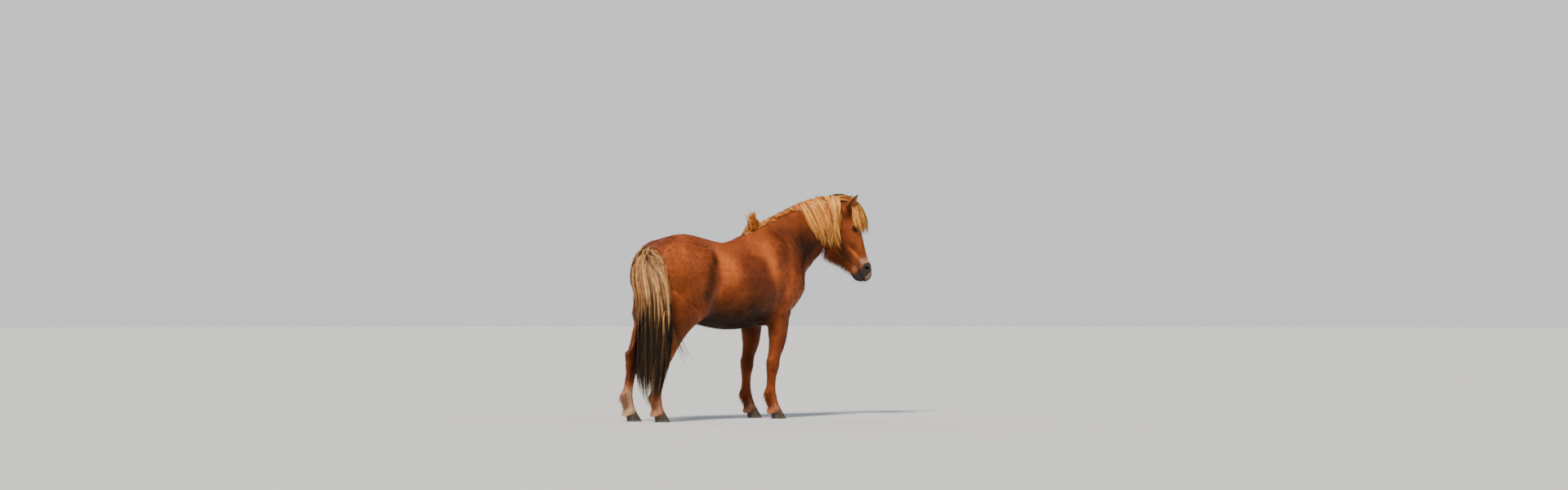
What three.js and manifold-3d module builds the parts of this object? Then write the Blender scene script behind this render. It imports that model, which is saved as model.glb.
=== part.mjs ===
// A life-size Icelandic horse, standing with its head turned a little to its right.
// Millimetres, +Z up, +X towards the head, +Y towards the horse's left.
//
// The flesh is one smooth field: oval stretches of muscle and bone that run between the joints of the skeleton and
// melt into each other. Each flesh node is a mesh on that field, and plane cuts part the nodes from each other.
import * as THREE from 'three';
import { LoftGeometry } from 'three/addons/geometries/LoftGeometry.js';
import { mergeVertices } from 'three/addons/utils/BufferGeometryUtils.js';
import Module from 'manifold-3d';

const wasm = await Module();
wasm.setup();

const point = (x, y, z) => new THREE.Vector3(x, y, z);
const degrees = THREE.MathUtils.degToRad;
const UP = point(0, 0, 1);
const DOWN = point(0, 0, -1);
const LEFTWARD = point(0, 1, 0);
const FORWARD = point(1, 0, 0);
const SIDES = { right: -1, left: 1 };

// Driving sizes

const GAP = 0.3; // between any two nodes
const BURIED = 8; // how far a node's raw mesh runs past its cut
const POLL = point(1127, -130, 1611);
const HEAD_TURN = degrees(26); // to the horse's right
const HEAD_PITCH = degrees(21); // the face, off the vertical
const EYE = { u: 200, v: 13, w: 76, radius: 20 };
const NOSTRIL = { u: 514, v: 2, w: 43, long: 19, across: 10, deep: 24 };
const EAR_LENGTH = 158;
const HOOF = { length: 122, width: 112, toeAngle: degrees(52), coronet: 62, coronetTilt: degrees(24) };

// The head has its own frame: u runs down the face from the poll, v comes out of the forehead, w points left.

const ahead = point(Math.cos(HEAD_TURN), -Math.sin(HEAD_TURN), 0);
const downFace = ahead.clone().multiplyScalar(Math.sin(HEAD_PITCH)).addScaledVector(UP, -Math.cos(HEAD_PITCH));
const outOfFace = ahead.clone().multiplyScalar(Math.cos(HEAD_PITCH)).addScaledVector(UP, Math.sin(HEAD_PITCH));
const headLeft = point(Math.sin(HEAD_TURN), Math.cos(HEAD_TURN), 0);
const headWay = (u, v, w = 0) =>
  downFace.clone().multiplyScalar(u).addScaledVector(outOfFace, v).addScaledVector(headLeft, w);
const onHead = (u, v, w = 0) => headWay(u, v, w).add(POLL);

// Joints of the legs, with the right leg's x; the left leg stands further back.

const foreJoints = {
  elbow: point(440, 150, 850),
  knee: point(403, 141, 415),
  fetlock: point(386, 134, 190),
  coronet: point(432, 131, HOOF.coronet),
};
const hindJoints = {
  stifle: point(-375, 165, 845),
  hock: point(-682, 142, 448),
  fetlock: point(-750, 134, 190),
  coronet: point(-722, 131, HOOF.coronet),
};
const LEFT_SET_BACK = { fore: 4, hind: 46 };

function jointsOf(joints, side, setBack) {
  const moved = {};
  const top = Object.values(joints)[0].z;
  for (const [name, p] of Object.entries(joints)) {
    const share = Math.min(1, (top - p.z) / (0.45 * top));
    moved[name] = point(p.x - (side > 0 ? setBack * share : 0), side * p.y, p.z);
  }
  return moved;
}

// One oval stretch of flesh from a to b: wide is its half-width along the side direction, deep its other half-width.
function stretch(a, b, wide, deep, sideways = LEFTWARD) {
  const axis = b.clone().sub(a);
  const side = sideways.clone().addScaledVector(axis, -sideways.dot(axis) / axis.lengthSq()).normalize();
  return { a, axis, lengthSq: axis.lengthSq(), side, wide, deep };
}

function stretchDistance(s, p) {
  const px = p.x - s.a.x;
  const py = p.y - s.a.y;
  const pz = p.z - s.a.z;
  const along = (px * s.axis.x + py * s.axis.y + pz * s.axis.z) / s.lengthSq;
  const t = Math.min(1, Math.max(0, along));
  const qx = px - t * s.axis.x;
  const qy = py - t * s.axis.y;
  const qz = pz - t * s.axis.z;
  const across = qx * s.side.x + qy * s.side.y + qz * s.side.z;
  const rest = Math.max(0, qx * qx + qy * qy + qz * qz - across * across);
  const wide = s.wide[0] + t * (s.wide[1] - s.wide[0]);
  const deep = s.deep[0] + t * (s.deep[1] - s.deep[0]);
  return (Math.sqrt(rest / (deep * deep) + (across * across) / (wide * wide)) - 1) * Math.min(wide, deep);
}

// A muscle is one stretch, or a chain of them along a curve, and blend is how softly it melts into the rest.
function muscleOf(stretches, blend) {
  const box = new THREE.Box3();
  for (const s of stretches) {
    const reach = Math.max(...s.wide, ...s.deep);
    for (const p of [s.a, s.a.clone().add(s.axis)]) {
      box.expandByPoint(p.clone().addScalar(reach)).expandByPoint(p.clone().addScalar(-reach));
    }
  }
  return { stretches, blend, box };
}

const CHAIN_STEPS = 3; // stretches between two stations of a chain
function chainOf(stations, blend, sideways = LEFTWARD) {
  const line = new THREE.CatmullRomCurve3(stations.map((s) => s.at), false, 'centripetal');
  const sizes = new THREE.CatmullRomCurve3(stations.map((s) => point(s.wide, s.deep, 0)), false, 'catmullrom', 0.5);
  const steps = (stations.length - 1) * CHAIN_STEPS;
  const stretches = [];
  for (let i = 0; i < steps; i++) {
    const s0 = sizes.getPoint(i / steps);
    const s1 = sizes.getPoint((i + 1) / steps);
    const [a, b] = [line.getPoint(i / steps), line.getPoint((i + 1) / steps)];
    stretches.push(stretch(a, b, [s0.x, s1.x], [s0.y, s1.y], sideways));
  }
  return muscleOf(stretches, blend);
}

// How far p is outside a set of muscles, in about millimetres; it is negative inside.
function distanceTo(muscles, p) {
  let least = 1e6;
  for (const m of muscles) {
    if (m.box.distanceToPoint(p) > Math.min(least, 400) + m.blend) continue;
    let d = 1e6;
    for (const s of m.stretches) d = Math.min(d, stretchDistance(s, p));
    const h = Math.max(0, m.blend - Math.abs(least - d)) / m.blend;
    least = Math.min(least, d) - (h * h * m.blend) / 4;
  }
  return least;
}

const flesh = [];
const fleshDistance = (p) => distanceTo(flesh, p);

// The trunk: x, top, bottom and half-width at stations from the buttocks to the breast.
const TRUNK = [
  [-728, 1108, 1000, 72],
  [-688, 1162, 938, 136],
  [-610, 1234, 862, 198],
  [-490, 1312, 812, 246],
  [-360, 1334, 760, 262],
  [-230, 1316, 722, 272],
  [-100, 1290, 692, 290],
  [30, 1272, 672, 302],
  [160, 1280, 674, 298],
  [290, 1308, 692, 272],
  [400, 1326, 718, 236],
  [500, 1296, 758, 204],
  [585, 1220, 812, 174],
  [640, 1136, 890, 118],
];
flesh.push(chainOf(TRUNK.map(([x, top, bottom, wide]) => ({
  at: point(x, 0, (top + bottom) / 2), wide, deep: (top - bottom) / 2,
})), 1));

// The topline is a narrower ridge over the spine, from the tail's root to the withers: x, height and half-width.
const RIDGE_DEEP = 92;
const TOPLINE = [
  [-672, 1202, 50],
  [-590, 1267, 76],
  [-480, 1335, 96],
  [-370, 1360, 106],
  [-230, 1340, 94],
  [-90, 1314, 82],
  [30, 1310, 74],
  [130, 1338, 64],
  [230, 1382, 52],
  [340, 1418, 42],
  [440, 1438, 42],
];
flesh.push(chainOf(TOPLINE.map(([x, top, wide]) => ({
  at: point(x, 0, top - RIDGE_DEEP), wide, deep: RIDGE_DEEP,
})), 90));

// The neck, from inside the shoulders to the poll, and its thick crest
const NECK_SIDE = point(0.12, 1, 0);
const NECK = [
  { at: point(450, 0, 1120), wide: 146, deep: 225 },
  { at: point(600, -4, 1222), wide: 124, deep: 206 },
  { at: point(735, -18, 1325), wide: 102, deep: 188 },
  { at: point(870, -46, 1413), wide: 86, deep: 166 },
  { at: point(990, -80, 1462), wide: 76, deep: 150 },
  { at: point(1070, -104, 1484), wide: 66, deep: 118 },
];
flesh.push(chainOf(NECK, 110, NECK_SIDE));
const CREST = [
  { at: point(470, 0, 1362), wide: 44, deep: 62 },
  { at: point(600, -4, 1450), wide: 40, deep: 64 },
  { at: point(740, -20, 1520), wide: 37, deep: 62 },
  { at: point(880, -50, 1562), wide: 36, deep: 56 },
  { at: point(1010, -90, 1584), wide: 38, deep: 48 },
  { at: point(1095, -118, 1584), wide: 42, deep: 40 },
];
flesh.push(chainOf(CREST, 70, NECK_SIDE));

// The head, in its own frame: [u, v, w] from and to, then half-widths across the head and along the face
const headPiece = (from, to, wide, deep, blend) =>
  flesh.push(muscleOf([stretch(onHead(...from), onHead(...to), wide, deep, headLeft)], blend));
flesh.push(chainOf([
  { at: onHead(28, 0), wide: 56, deep: 58 },
  { at: onHead(110, 8), wide: 72, deep: 64 },
  { at: onHead(200, 6), wide: 82, deep: 65 },
  { at: onHead(320, -2), wide: 60, deep: 60 },
  { at: onHead(440, -14), wide: 45, deep: 60 },
  { at: onHead(550, -18), wide: 46, deep: 58 },
], 40, headLeft));
headPiece([160, -92], [275, -108], [60, 62], [92, 112], 40); // between the cheeks
headPiece([275, -112], [400, -100], [56, 44], [104, 62], 40); // lower jaw
headPiece([400, -98], [520, -78], [42, 35], [60, 36], 36);
headPiece([518, -88], [556, -86], [34, 32], [28, 26], 22); // chin
headPiece([556, -18], [580, -24], [44, 36], [42, 25], 22); // upper lip
headPiece([560, -72], [580, -66], [33, 30], [20, 19], 14); // lower lip
for (const side of Object.values(SIDES)) {
  headPiece([165, -92, 36 * side], [270, -106, 38 * side], [32, 32], [96, 108], 24); // cheek
  headPiece([166, 40, 64 * side], [200, 38, 70 * side], [26, 26], [24, 22], 24); // brow
  headPiece([200, 13, 60 * side], [206, 12, 60 * side], [26, 26], [36, 36], 20); // round the eye
  headPiece([236, -22, 66 * side], [350, -34, 46 * side], [12, 9], [12, 9], 18); // facial crest
  headPiece([500, 20, 31 * side], [534, 8, 33 * side], [17, 17], [26, 26], 16); // nostril's rim
  headPiece([26, -6, 36 * side], [56, -14, 48 * side], [26, 27], [28, 32], 24); // ear's root
}

// The muscles of the body that come in pairs
for (const side of Object.values(SIDES)) {
  const pair = (from, to, wide, deep, blend) => flesh.push(muscleOf([stretch(
    point(from[0], side * from[1], from[2]), point(to[0], side * to[1], to[2]), wide, deep)], blend));
  pair([-560, 94, 1156], [-400, 76, 1196], [112, 96], [150, 118], 90); // croup
  pair([-676, 82, 1110], [-672, 128, 850], [68, 70], [86, 88], 60); // buttock
  pair([-490, 124, 1070], [-450, 156, 880], [106, 88], [166, 146], 90); // thigh
  pair([-322, 198, 1212], [-310, 198, 1198], [40, 40], [46, 46], 70); // point of the hip
  pair([-340, 166, 890], [-352, 168, 842], [54, 52], [70, 62], 50); // stifle
  pair([430, 112, 1250], [572, 144, 1012], [68, 74], [110, 98], 70); // shoulder blade
  pair([602, 132, 1000], [470, 150, 868], [72, 68], [88, 96], 50); // upper arm
  pair([656, 62, 985], [575, 74, 850], [78, 62], [72, 62], 45); // breast
  pair([405, 150, 862], [366, 150, 842], [46, 34], [52, 40], 40); // point of the elbow
}

// Each leg is a chain: bone from, bone to, share along it, half-width across and fore-and-aft, and moved forward.
const FORE_STATIONS = [
  ['elbow', 'knee', 0.0, 70, 106, 6],
  ['elbow', 'knee', 0.22, 66, 98, 16],
  ['elbow', 'knee', 0.45, 62, 83, 24],
  ['elbow', 'knee', 0.64, 55, 68, 26],
  ['elbow', 'knee', 0.82, 47, 52, 10],
  ['elbow', 'knee', 0.93, 46, 48, 2],
  ['knee', 'fetlock', 0.0, 47, 49, 0],
  ['knee', 'fetlock', 0.16, 44, 46, -1],
  ['knee', 'fetlock', 0.34, 36, 39, -4],
  ['knee', 'fetlock', 0.6, 30, 35, -4],
  ['knee', 'fetlock', 0.84, 32, 38, -3],
  ['knee', 'fetlock', 1.0, 37, 43, -2],
  ['fetlock', 'coronet', 0.4, 35, 38, 0],
  ['fetlock', 'coronet', 0.72, 37, 38, 0],
  ['fetlock', 'coronet', 1.0, 48, 49, -6],
  ['fetlock', 'coronet', 1.2, 50, 51, -10],
];
const HIND_STATIONS = [
  ['stifle', 'hock', -0.12, 88, 164, -108],
  ['stifle', 'hock', 0.1, 84, 148, -114],
  ['stifle', 'hock', 0.33, 72, 114, -88],
  ['stifle', 'hock', 0.54, 58, 84, -56],
  ['stifle', 'hock', 0.74, 46, 62, -20],
  ['stifle', 'hock', 0.9, 43, 53, -2],
  ['hock', 'fetlock', 0.0, 43, 52, 0],
  ['hock', 'fetlock', 0.14, 41, 49, 0],
  ['hock', 'fetlock', 0.3, 34, 42, 0],
  ['hock', 'fetlock', 0.52, 29, 37, 0],
  ['hock', 'fetlock', 0.74, 29, 36, 0],
  ['hock', 'fetlock', 0.9, 32, 40, 0],
  ['hock', 'fetlock', 1.0, 37, 43, 0],
  ['fetlock', 'coronet', 0.4, 35, 38, 0],
  ['fetlock', 'coronet', 0.72, 37, 38, 0],
  ['fetlock', 'coronet', 1.0, 48, 49, -6],
  ['fetlock', 'coronet', 1.2, 50, 51, -10],
];
const legs = [];
for (const [sideName, side] of Object.entries(SIDES)) {
  for (const [end, joints, stations] of [['fore', foreJoints, FORE_STATIONS], ['hind', hindJoints, HIND_STATIONS]]) {
    const at = jointsOf(joints, side, LEFT_SET_BACK[end]);
    const line = stations.map(([from, to, share, wide, deep, forward]) => ({
      at: at[from].clone().lerp(at[to], share).addScaledVector(FORWARD, forward), wide, deep,
    }));
    flesh.push(chainOf(line, 40));
    legs.push({ name: `${end}_leg_${sideName}`, side, end, joints: at, line });
    const lump = (from, to, wide, deep, blend) => flesh.push(muscleOf([stretch(from, to, wide, deep)], blend));
    const by = (joint, dx, dz) => at[joint].clone().add(point(dx, 0, dz));
    if (end === 'hind') {
      const gaskin = at.stifle.clone().lerp(at.hock, 0.5).add(point(-118, 0, 6));
      lump(gaskin, by('hock', -54, 50), [22, 16], [34, 18], 40); // tendon down to the point of the hock
      lump(by('hock', -54, 50), by('hock', -34, -40), [20, 20], [20, 24], 26);
    } else {
      lump(by('knee', -38, 28), by('knee', -32, -30), [20, 16], [16, 12], 20);
    }
    lump(by('fetlock', -30, -4), by('fetlock', -24, -26), [22, 18], [20, 16], 22); // back of the fetlock
    lump(by('coronet', -44, -2), by('coronet', -52, -14), [34, 34], [18, 18], 20); // bulbs of the heel
  }
}

// Cutting planes. A region is a list of them, and holds what lies behind all of them.
const plane = (way, through) => {
  const normal = way.clone().normalize();
  return { normal, offset: normal.dot(through) };
};
const flip = (cut) => ({ normal: cut.normal.clone().negate(), offset: -cut.offset });
const past = (cut, p) => cut.normal.dot(p) - cut.offset;
const neckRoot = plane(point(0.79, 0, 0.61), point(624, 0, 1250)); // torso behind it, neck in front
const headRoot = plane(headWay(0.495, 0.87), onHead(8, -72)); // neck behind it, head in front
const legRoot = {
  fore: (side) => plane(point(-0.12, -side * 0.47, 0.87), point(400, side * 75, 724)),
  hind: (side) => plane(point(0.6, -side * 0.25, 0.76), point(-417, side * 120, 735)),
};
const legSpan = { fore: [280, 620], hind: [-900, -250] };
for (const leg of legs) {
  const [back, front] = legSpan[leg.end];
  leg.root = legRoot[leg.end](leg.side);
  leg.region = [
    leg.root,
    plane(FORWARD, point(front, 0, 0)),
    plane(FORWARD.clone().negate(), point(back, 0, 0)),
    plane(LEFTWARD.clone().multiplyScalar(-leg.side), point(0, leg.side * 1, 0)),
  ];
  leg.coronet = plane(point(-Math.sin(HOOF.coronetTilt), 0, Math.cos(HOOF.coronetTilt)), leg.joints.coronet);
}

// Solids, by manifold-3d: meshes in, joined and cut, and meshes out

function solidOf(geometry) {
  const bare = geometry.index ? geometry.toNonIndexed() : geometry.clone();
  for (const name of Object.keys(bare.attributes)) if (name !== 'position') bare.deleteAttribute(name);
  const merged = mergeVertices(bare, 1e-3);
  return new wasm.Manifold(new wasm.Mesh({
    numProp: 3,
    vertProperties: new Float32Array(merged.attributes.position.array),
    triVerts: new Uint32Array(merged.index.array),
  }));
}

function geometryOf(solid) {
  const { numVert, numProp, vertProperties, triVerts } = solid.getMesh();
  const places = new Float32Array(numVert * 3);
  for (let i = 0; i < numVert; i++) places.set(vertProperties.subarray(i * numProp, i * numProp + 3), i * 3);
  return new THREE.BufferGeometry()
    .setAttribute('position', new THREE.BufferAttribute(places, 3))
    .setIndex(new THREE.BufferAttribute(new Uint32Array(triVerts), 1));
}

const joined = (solids) => solids.reduce((a, b) => a.add(b));
const largest = (solid) => solid.decompose().reduce((a, b) => (a.volume() > b.volume() ? a : b));
const behind = (solid, cut, gap = GAP / 2) =>
  solid.trimByPlane(cut.normal.clone().negate().toArray(), -(cut.offset - gap));

// A solid moved outwards all round, to cut a little more than itself out of its neighbour
const CLEAR = 0.55;
function grown(solid, by = CLEAR) {
  const geometry = geometryOf(solid);
  geometry.computeVertexNormals();
  const { position, normal } = geometry.attributes;
  for (let i = 0; i < position.count; i++) {
    position.setXYZ(i, position.getX(i) + by * normal.getX(i), position.getY(i) + by * normal.getY(i),
      position.getZ(i) + by * normal.getZ(i));
  }
  return solidOf(geometry);
}

const BLOCK = 4000;
function regionSolid(region, wider = 0) {
  const block = solidOf(new THREE.BoxGeometry(BLOCK, BLOCK, BLOCK));
  return region.reduce((solid, cut) => behind(solid, cut, -wider), block);
}

// A loft closed at both ends, with its faces outwards whichever way round its sections run
function loft(sections) {
  const centres = sections.map((section) => section.reduce((sum, p) => sum.add(p), point(0, 0, 0))
    .divideScalar(section.length));
  let turn = 0;
  for (let i = 0; i + 1 < sections.length; i++) {
    const area = point(0, 0, 0);
    sections[i].forEach((p, k, all) => area.add(p.clone().sub(centres[i])
      .cross(all[(k + 1) % all.length].clone().sub(centres[i]))));
    turn += area.dot(centres[i + 1].clone().sub(centres[i]));
  }
  const ordered = turn > 0 ? sections : sections.map((section) => section.slice().reverse());
  return solidOf(new LoftGeometry(ordered, { capStart: true, capEnd: true }));
}

// The place where a ray from inside leaves the flesh, or leaves what is allowed, at most reach away
function skinPoint(from, way, reach, allowed) {
  const inside = (s) => {
    const p = from.clone().addScaledVector(way, s);
    return fleshDistance(p) < 0 && allowed(p);
  };
  let near = 0;
  let far = 0;
  while (far < reach && inside(far)) {
    near = far;
    far += 6;
  }
  far = Math.min(far, reach);
  for (let i = 0; i < 9; i++) {
    const middle = (near + far) / 2;
    if (inside(middle)) near = middle;
    else far = middle;
  }
  return from.clone().addScaledVector(way, (near + far) / 2);
}

// A mesh on the flesh around a line. Each ring is a fan of rays square to its normal. One that leans is a cone of
// rays, and closes a round end.
function wrap(rings, count, allowed = () => true) {
  const section = ({ at, normal, sideways = LEFTWARD, reach, lean = 0 }) => {
    const side = sideways.clone().addScaledVector(normal, -sideways.dot(normal)).normalize();
    const third = normal.clone().cross(side);
    return Array.from({ length: count }, (_, i) => {
      const angle = (i / count) * 2 * Math.PI;
      const ray = side.clone().multiplyScalar(Math.cos(angle)).addScaledVector(third, Math.sin(angle));
      ray.multiplyScalar(Math.cos(lean)).addScaledVector(normal, Math.sin(lean));
      return skinPoint(at, ray, reach, allowed);
    });
  };
  const button = (ring, next) => {
    if (ring.lean) return section({ ...ring, lean: Math.sign(ring.lean) * 1.53 });
    const beyond = ring.at.clone().sub(next.at).setLength(3);
    return section({ ...ring, at: ring.at.clone().add(beyond), reach: 2 });
  };
  return loft([button(rings[0], rings[1]), ...rings.map(section), button(rings.at(-1), rings.at(-2))]);
}

// Torso

const TORSO_RINGS = 31;
const TORSO_SPOKES = 30;
function torso() {
  const line = new THREE.CatmullRomCurve3([
    point(-640, 0, 1070), point(-400, 0, 1040), point(0, 0, 985), point(300, 0, 1010), point(500, 0, 1130),
    point(640, -5, 1265),
  ], false, 'centripetal');
  const rings = [];
  for (let i = 0; i <= TORSO_RINGS; i++) {
    const t = i / TORSO_RINGS;
    const turn = Math.max(0, (t - 0.62) / 0.38) ** 1.3;
    const normal = FORWARD.clone().lerp(neckRoot.normal, turn).normalize();
    rings.push({ at: line.getPointAt(t), normal, reach: 460 });
  }
  for (const lean of [-0.28, -0.58, -0.9, -1.25]) rings.unshift({ ...rings.at(0), at: line.getPoint(0), lean });
  const outsideLegs = (p) => !legs.some((leg) => leg.region.every((cut) => past(cut, p) < -BURIED));
  let solid = behind(wrap(rings, TORSO_SPOKES, outsideLegs), neckRoot);
  for (const leg of legs) solid = solid.subtract(regionSolid(leg.region, GAP / 2));
  return largest(solid);
}

// Neck

const NECK_RINGS = 11;
function neck() {
  const line = new THREE.CatmullRomCurve3(NECK.map((s) => s.at), false, 'centripetal');
  const rings = [];
  for (let i = 0; i <= NECK_RINGS; i++) {
    const t = i / NECK_RINGS;
    const normal = neckRoot.normal.clone().lerp(headRoot.normal, t ** 1.6).normalize();
    rings.push({ at: line.getPoint(0.17 + 0.8 * t), normal, reach: 420 });
  }
  return largest(behind(behind(wrap(rings, 28), flip(neckRoot)), headRoot));
}

// Head

const ball = (radius, detail = 14) => new THREE.SphereGeometry(radius, detail, Math.round(detail * 0.7));
function placedBall(centre, ways, sizes, detail) {
  const sized = ways.map((way, i) => way.clone().setLength(sizes[i]));
  const frame = new THREE.Matrix4().makeBasis(...sized);
  return solidOf(ball(1, detail).applyMatrix4(frame.setPosition(centre)));
}

// A tube along a curve, rounded by its own sizes: wide along the side direction and deep across it
function tube(places, sizes, sideways, spokes) {
  const line = new THREE.CatmullRomCurve3(places, false, 'centripetal');
  return loft(sizes.map(([wide, deep], i) => {
    const t = i / (sizes.length - 1);
    const along = line.getTangent(t);
    const side = sideways.clone().addScaledVector(along, -sideways.dot(along)).normalize();
    const third = along.clone().cross(side);
    return Array.from({ length: spokes }, (_, k) => {
      const angle = (k / spokes) * 2 * Math.PI;
      return line.getPoint(t).addScaledVector(side, wide * Math.cos(angle))
        .addScaledVector(third, deep * Math.sin(angle));
    });
  }));
}

const EYE_SPOKES = 11;
const eyeCentre = (side) => onHead(EYE.u, EYE.v, EYE.w * side);

// An eyelid is a roll of skin over the eyeball, from one corner of the eye to the other.
function lid(side, lift) {
  const centre = eyeCentre(side);
  const out = headWay(0.06, 0.16, side).normalize();
  const along = headWay(0.82, 0.57, 0).normalize(); // from the back corner to the front one
  const upward = out.clone().cross(along).multiplyScalar(side).normalize();
  const places = [];
  for (let i = 0; i <= 4; i++) {
    const swing = degrees(-62 + (124 * i) / 4);
    const rise = degrees(lift) * Math.cos(swing * 1.35);
    places.push(centre.clone()
      .addScaledVector(along, (EYE.radius + 1.5) * Math.sin(swing))
      .addScaledVector(out, (EYE.radius + 1.5) * Math.cos(swing) * Math.cos(rise))
      .addScaledVector(upward, (EYE.radius + 1.5) * Math.cos(swing) * Math.sin(rise)));
  }
  const sizes = [[3, 2], [5, 3.6], [6, 4.2], [5, 3.6], [3, 2]];
  return tube(places, sizes, upward, 5);
}

const FAN_RINGS = 12; // behind the face the rings fan out from the cut at the neck to square across the face
function head() {
  const axisAt = (u) => onHead(u, u < 240 ? -34 : -34 + (u - 240) * 0.03);
  const rings = [];
  const fan = new THREE.CatmullRomCurve3([onHead(50, -117), onHead(120, -88), onHead(205, -52), axisAt(300)]);
  for (let i = 0; i < FAN_RINGS; i++) {
    const t = i / FAN_RINGS;
    const normal = headRoot.normal.clone().lerp(downFace, t ** 1.2).normalize();
    rings.push({ at: fan.getPoint(t), normal, sideways: headLeft, reach: 280 });
  }
  for (const u of [300, 334, 368, 402, 434, 462, 486, 508, 528, 543, 552]) {
    rings.push({ at: axisAt(u), normal: downFace, sideways: headLeft, reach: 280 });
  }
  for (const lean of [0.3, 0.62, 0.95, 1.28]) rings.push({ ...rings.at(-1), at: axisAt(552), lean });
  let solid = largest(behind(wrap(rings, 26), flip(headRoot)));

  const mouth = tube([onHead(486, -67), onHead(545, -58), onHead(640, -40)], [[80, 0.8], [80, 2.2], [80, 3.6]],
    headLeft, 6);
  const withinMouth = tube([onHead(470, -66), onHead(560, -52), onHead(584, -48)], [[32, 20], [30, 20], [20, 12]],
    headLeft, 8);
  solid = solid.subtract(mouth.subtract(withinMouth));
  for (const side of Object.values(SIDES)) {
    const into = headWay(-0.5, -0.25, -side);
    const along = headWay(0.72, 0.69, 0);
    const across = into.clone().cross(along);
    const pit = placedBall(onHead(NOSTRIL.u, NOSTRIL.v, NOSTRIL.w * side),
      [along, across, along.clone().cross(across)], [NOSTRIL.long, NOSTRIL.across, NOSTRIL.deep], 8);
    solid = solid.subtract(pit);
    const slant = headWay(0.82, 0.57, 0);
    const out = headWay(0.06, 0.16, side).normalize();
    const slit = placedBall(eyeCentre(side).addScaledVector(out, EYE.radius), [slant, out.clone().cross(slant), out],
      [25, 17, 18], 7);
    solid = solid.subtract(slit);
    solid = joined([solid, lid(side, 43), lid(side, -38)]);
    solid = solid.subtract(solidOf(ball(EYE.radius + GAP, EYE_SPOKES).translate(...eyeCentre(side).toArray())));
  }
  return largest(solid);
}

// An ear is a leaf, hollowed from its front and outer side.
function ear(side) {
  const root = onHead(50, -10, 50 * side);
  const tip = headWay(-0.52, 0.84, 0.15 * side).normalize().multiplyScalar(EAR_LENGTH);
  const bow = headWay(-0.1, -0.5, side).normalize(); // the leaf bows outwards and its tip turns back in
  const places = [0, 0.3, 0.65, 1].map((t) =>
    root.clone().addScaledVector(tip, t).addScaledVector(bow, 14 * Math.sin(Math.PI * t)));
  const open = headWay(0.35, 0.35, side).normalize();
  const across = open.clone().cross(tip).normalize();
  const leaf = [[21, 21], [27, 25], [32, 26], [33, 24], [29, 19], [19, 12], [4, 3.5]];
  const outer = tube(places, leaf, across, 12);
  const hollow = tube(places.map((p, i) => p.clone().addScaledVector(open, [10, 16, 14, 4][i])),
    leaf.map(([wide, deep]) => [Math.max(0.6, wide - 5), Math.max(0.5, deep - 4)]), across, 10);
  const lifted = plane(tip, root.clone().addScaledVector(tip, 0.2));
  return outer.subtract(behind(hollow, flip(lifted)));
}

// Legs

const LEG_RINGS = 22;
const LEG_SPOKES = 14;
function legSolids(leg) {
  const line = new THREE.CatmullRomCurve3(leg.line.map((s) => s.at), false, 'centripetal');
  const rings = [];
  let start = 0;
  while (past(leg.root, line.getPoint(start)) > 3 * BURIED) start += 0.005;
  for (let i = 0; i <= LEG_RINGS; i++) {
    const t = i / LEG_RINGS;
    const low = Math.max(0, (t - 0.85) / 0.15);
    const normal = leg.root.normal.clone().lerp(UP, Math.min(1, 1.8 * t)).lerp(leg.coronet.normal, low).normalize();
    rings.push({ at: line.getPoint(start + (0.98 - start) * t), normal, reach: 300 });
  }
  const allowed = (p) => leg.region.every((cut, i) => past(cut, p) < (i ? BURIED : 6 * BURIED));
  let solid = wrap(rings, LEG_SPOKES, allowed);
  for (const cut of leg.region) solid = behind(solid, cut);
  solid = largest(behind(solid, flip(leg.coronet)));
  const across = plane(UP, leg.end === 'fore' ? leg.joints.knee : leg.joints.hock);
  return { upper: largest(behind(solid, flip(across))), lower: largest(behind(solid, across)) };
}

// A hoof: flat below, its wall sloping up to the coronet, where the leg's skin begins
function hoof(leg) {
  const slope = 1 / Math.tan(HOOF.toeAngle);
  const centre = leg.joints.coronet.clone().setZ(0).add(point(HOOF.coronet * slope - 10, 0, 0));
  const outline = (z, share) => Array.from({ length: 14 }, (_, i) => {
    const angle = (i / 14) * 2 * Math.PI;
    const long = (HOOF.length / 2) * share * Math.cos(angle);
    const narrow = long < 0 ? 1 - 0.22 * (long / (HOOF.length / 2)) ** 2 : 1;
    const heel = long < 0 ? 0.9 : 1;
    const lean = z * slope * (0.42 + 0.24 * (1 + Math.cos(angle)));
    return point(centre.x + long * heel - lean, leg.joints.coronet.y
      + (HOOF.width / 2) * share * narrow * Math.sin(angle), z);
  });
  const sections = [outline(0, 0.985), outline(4, 1), outline(50, 0.91), outline(100, 0.84)];
  return behind(loft(sections), leg.coronet);
}

// Hair

// Where the flesh begins under p, and which way is out
function surface(p) {
  const slope = (way) => (fleshDistance(p.clone().addScaledVector(way, 4))
    - fleshDistance(p.clone().addScaledVector(way, -4))) / 8;
  const rise = point(slope(FORWARD), slope(LEFTWARD), slope(UP));
  const at = p.clone().addScaledVector(rise, -fleshDistance(p) / rise.lengthSq());
  return { at, out: rise.normalize() };
}

// A path over the flesh: each step goes the way that heading gives, flattened onto the skin, and rises by lift.
function drape(start, length, steps, heading, lift) {
  const path = [];
  let p = start.clone();
  for (let i = 0; i <= steps; i++) {
    const share = i / steps;
    const skin = surface(surface(p).at);
    path.push({ at: skin.at.clone().addScaledVector(skin.out, lift(share)), out: skin.out });
    const way = heading(skin.at, share);
    way.addScaledVector(skin.out, -way.dot(skin.out)).setLength(length / steps);
    p = skin.at.clone().add(way);
  }
  return path;
}

// Chance that repeats: the same horse is made each time.
function dice(seed) {
  let state = seed;
  return () => {
    state = (state * 1103515245 + 12345) % 2147483648;
    return state / 2147483648;
  };
}
const between = (roll, low, high) => low + (high - low) * roll();

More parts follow.
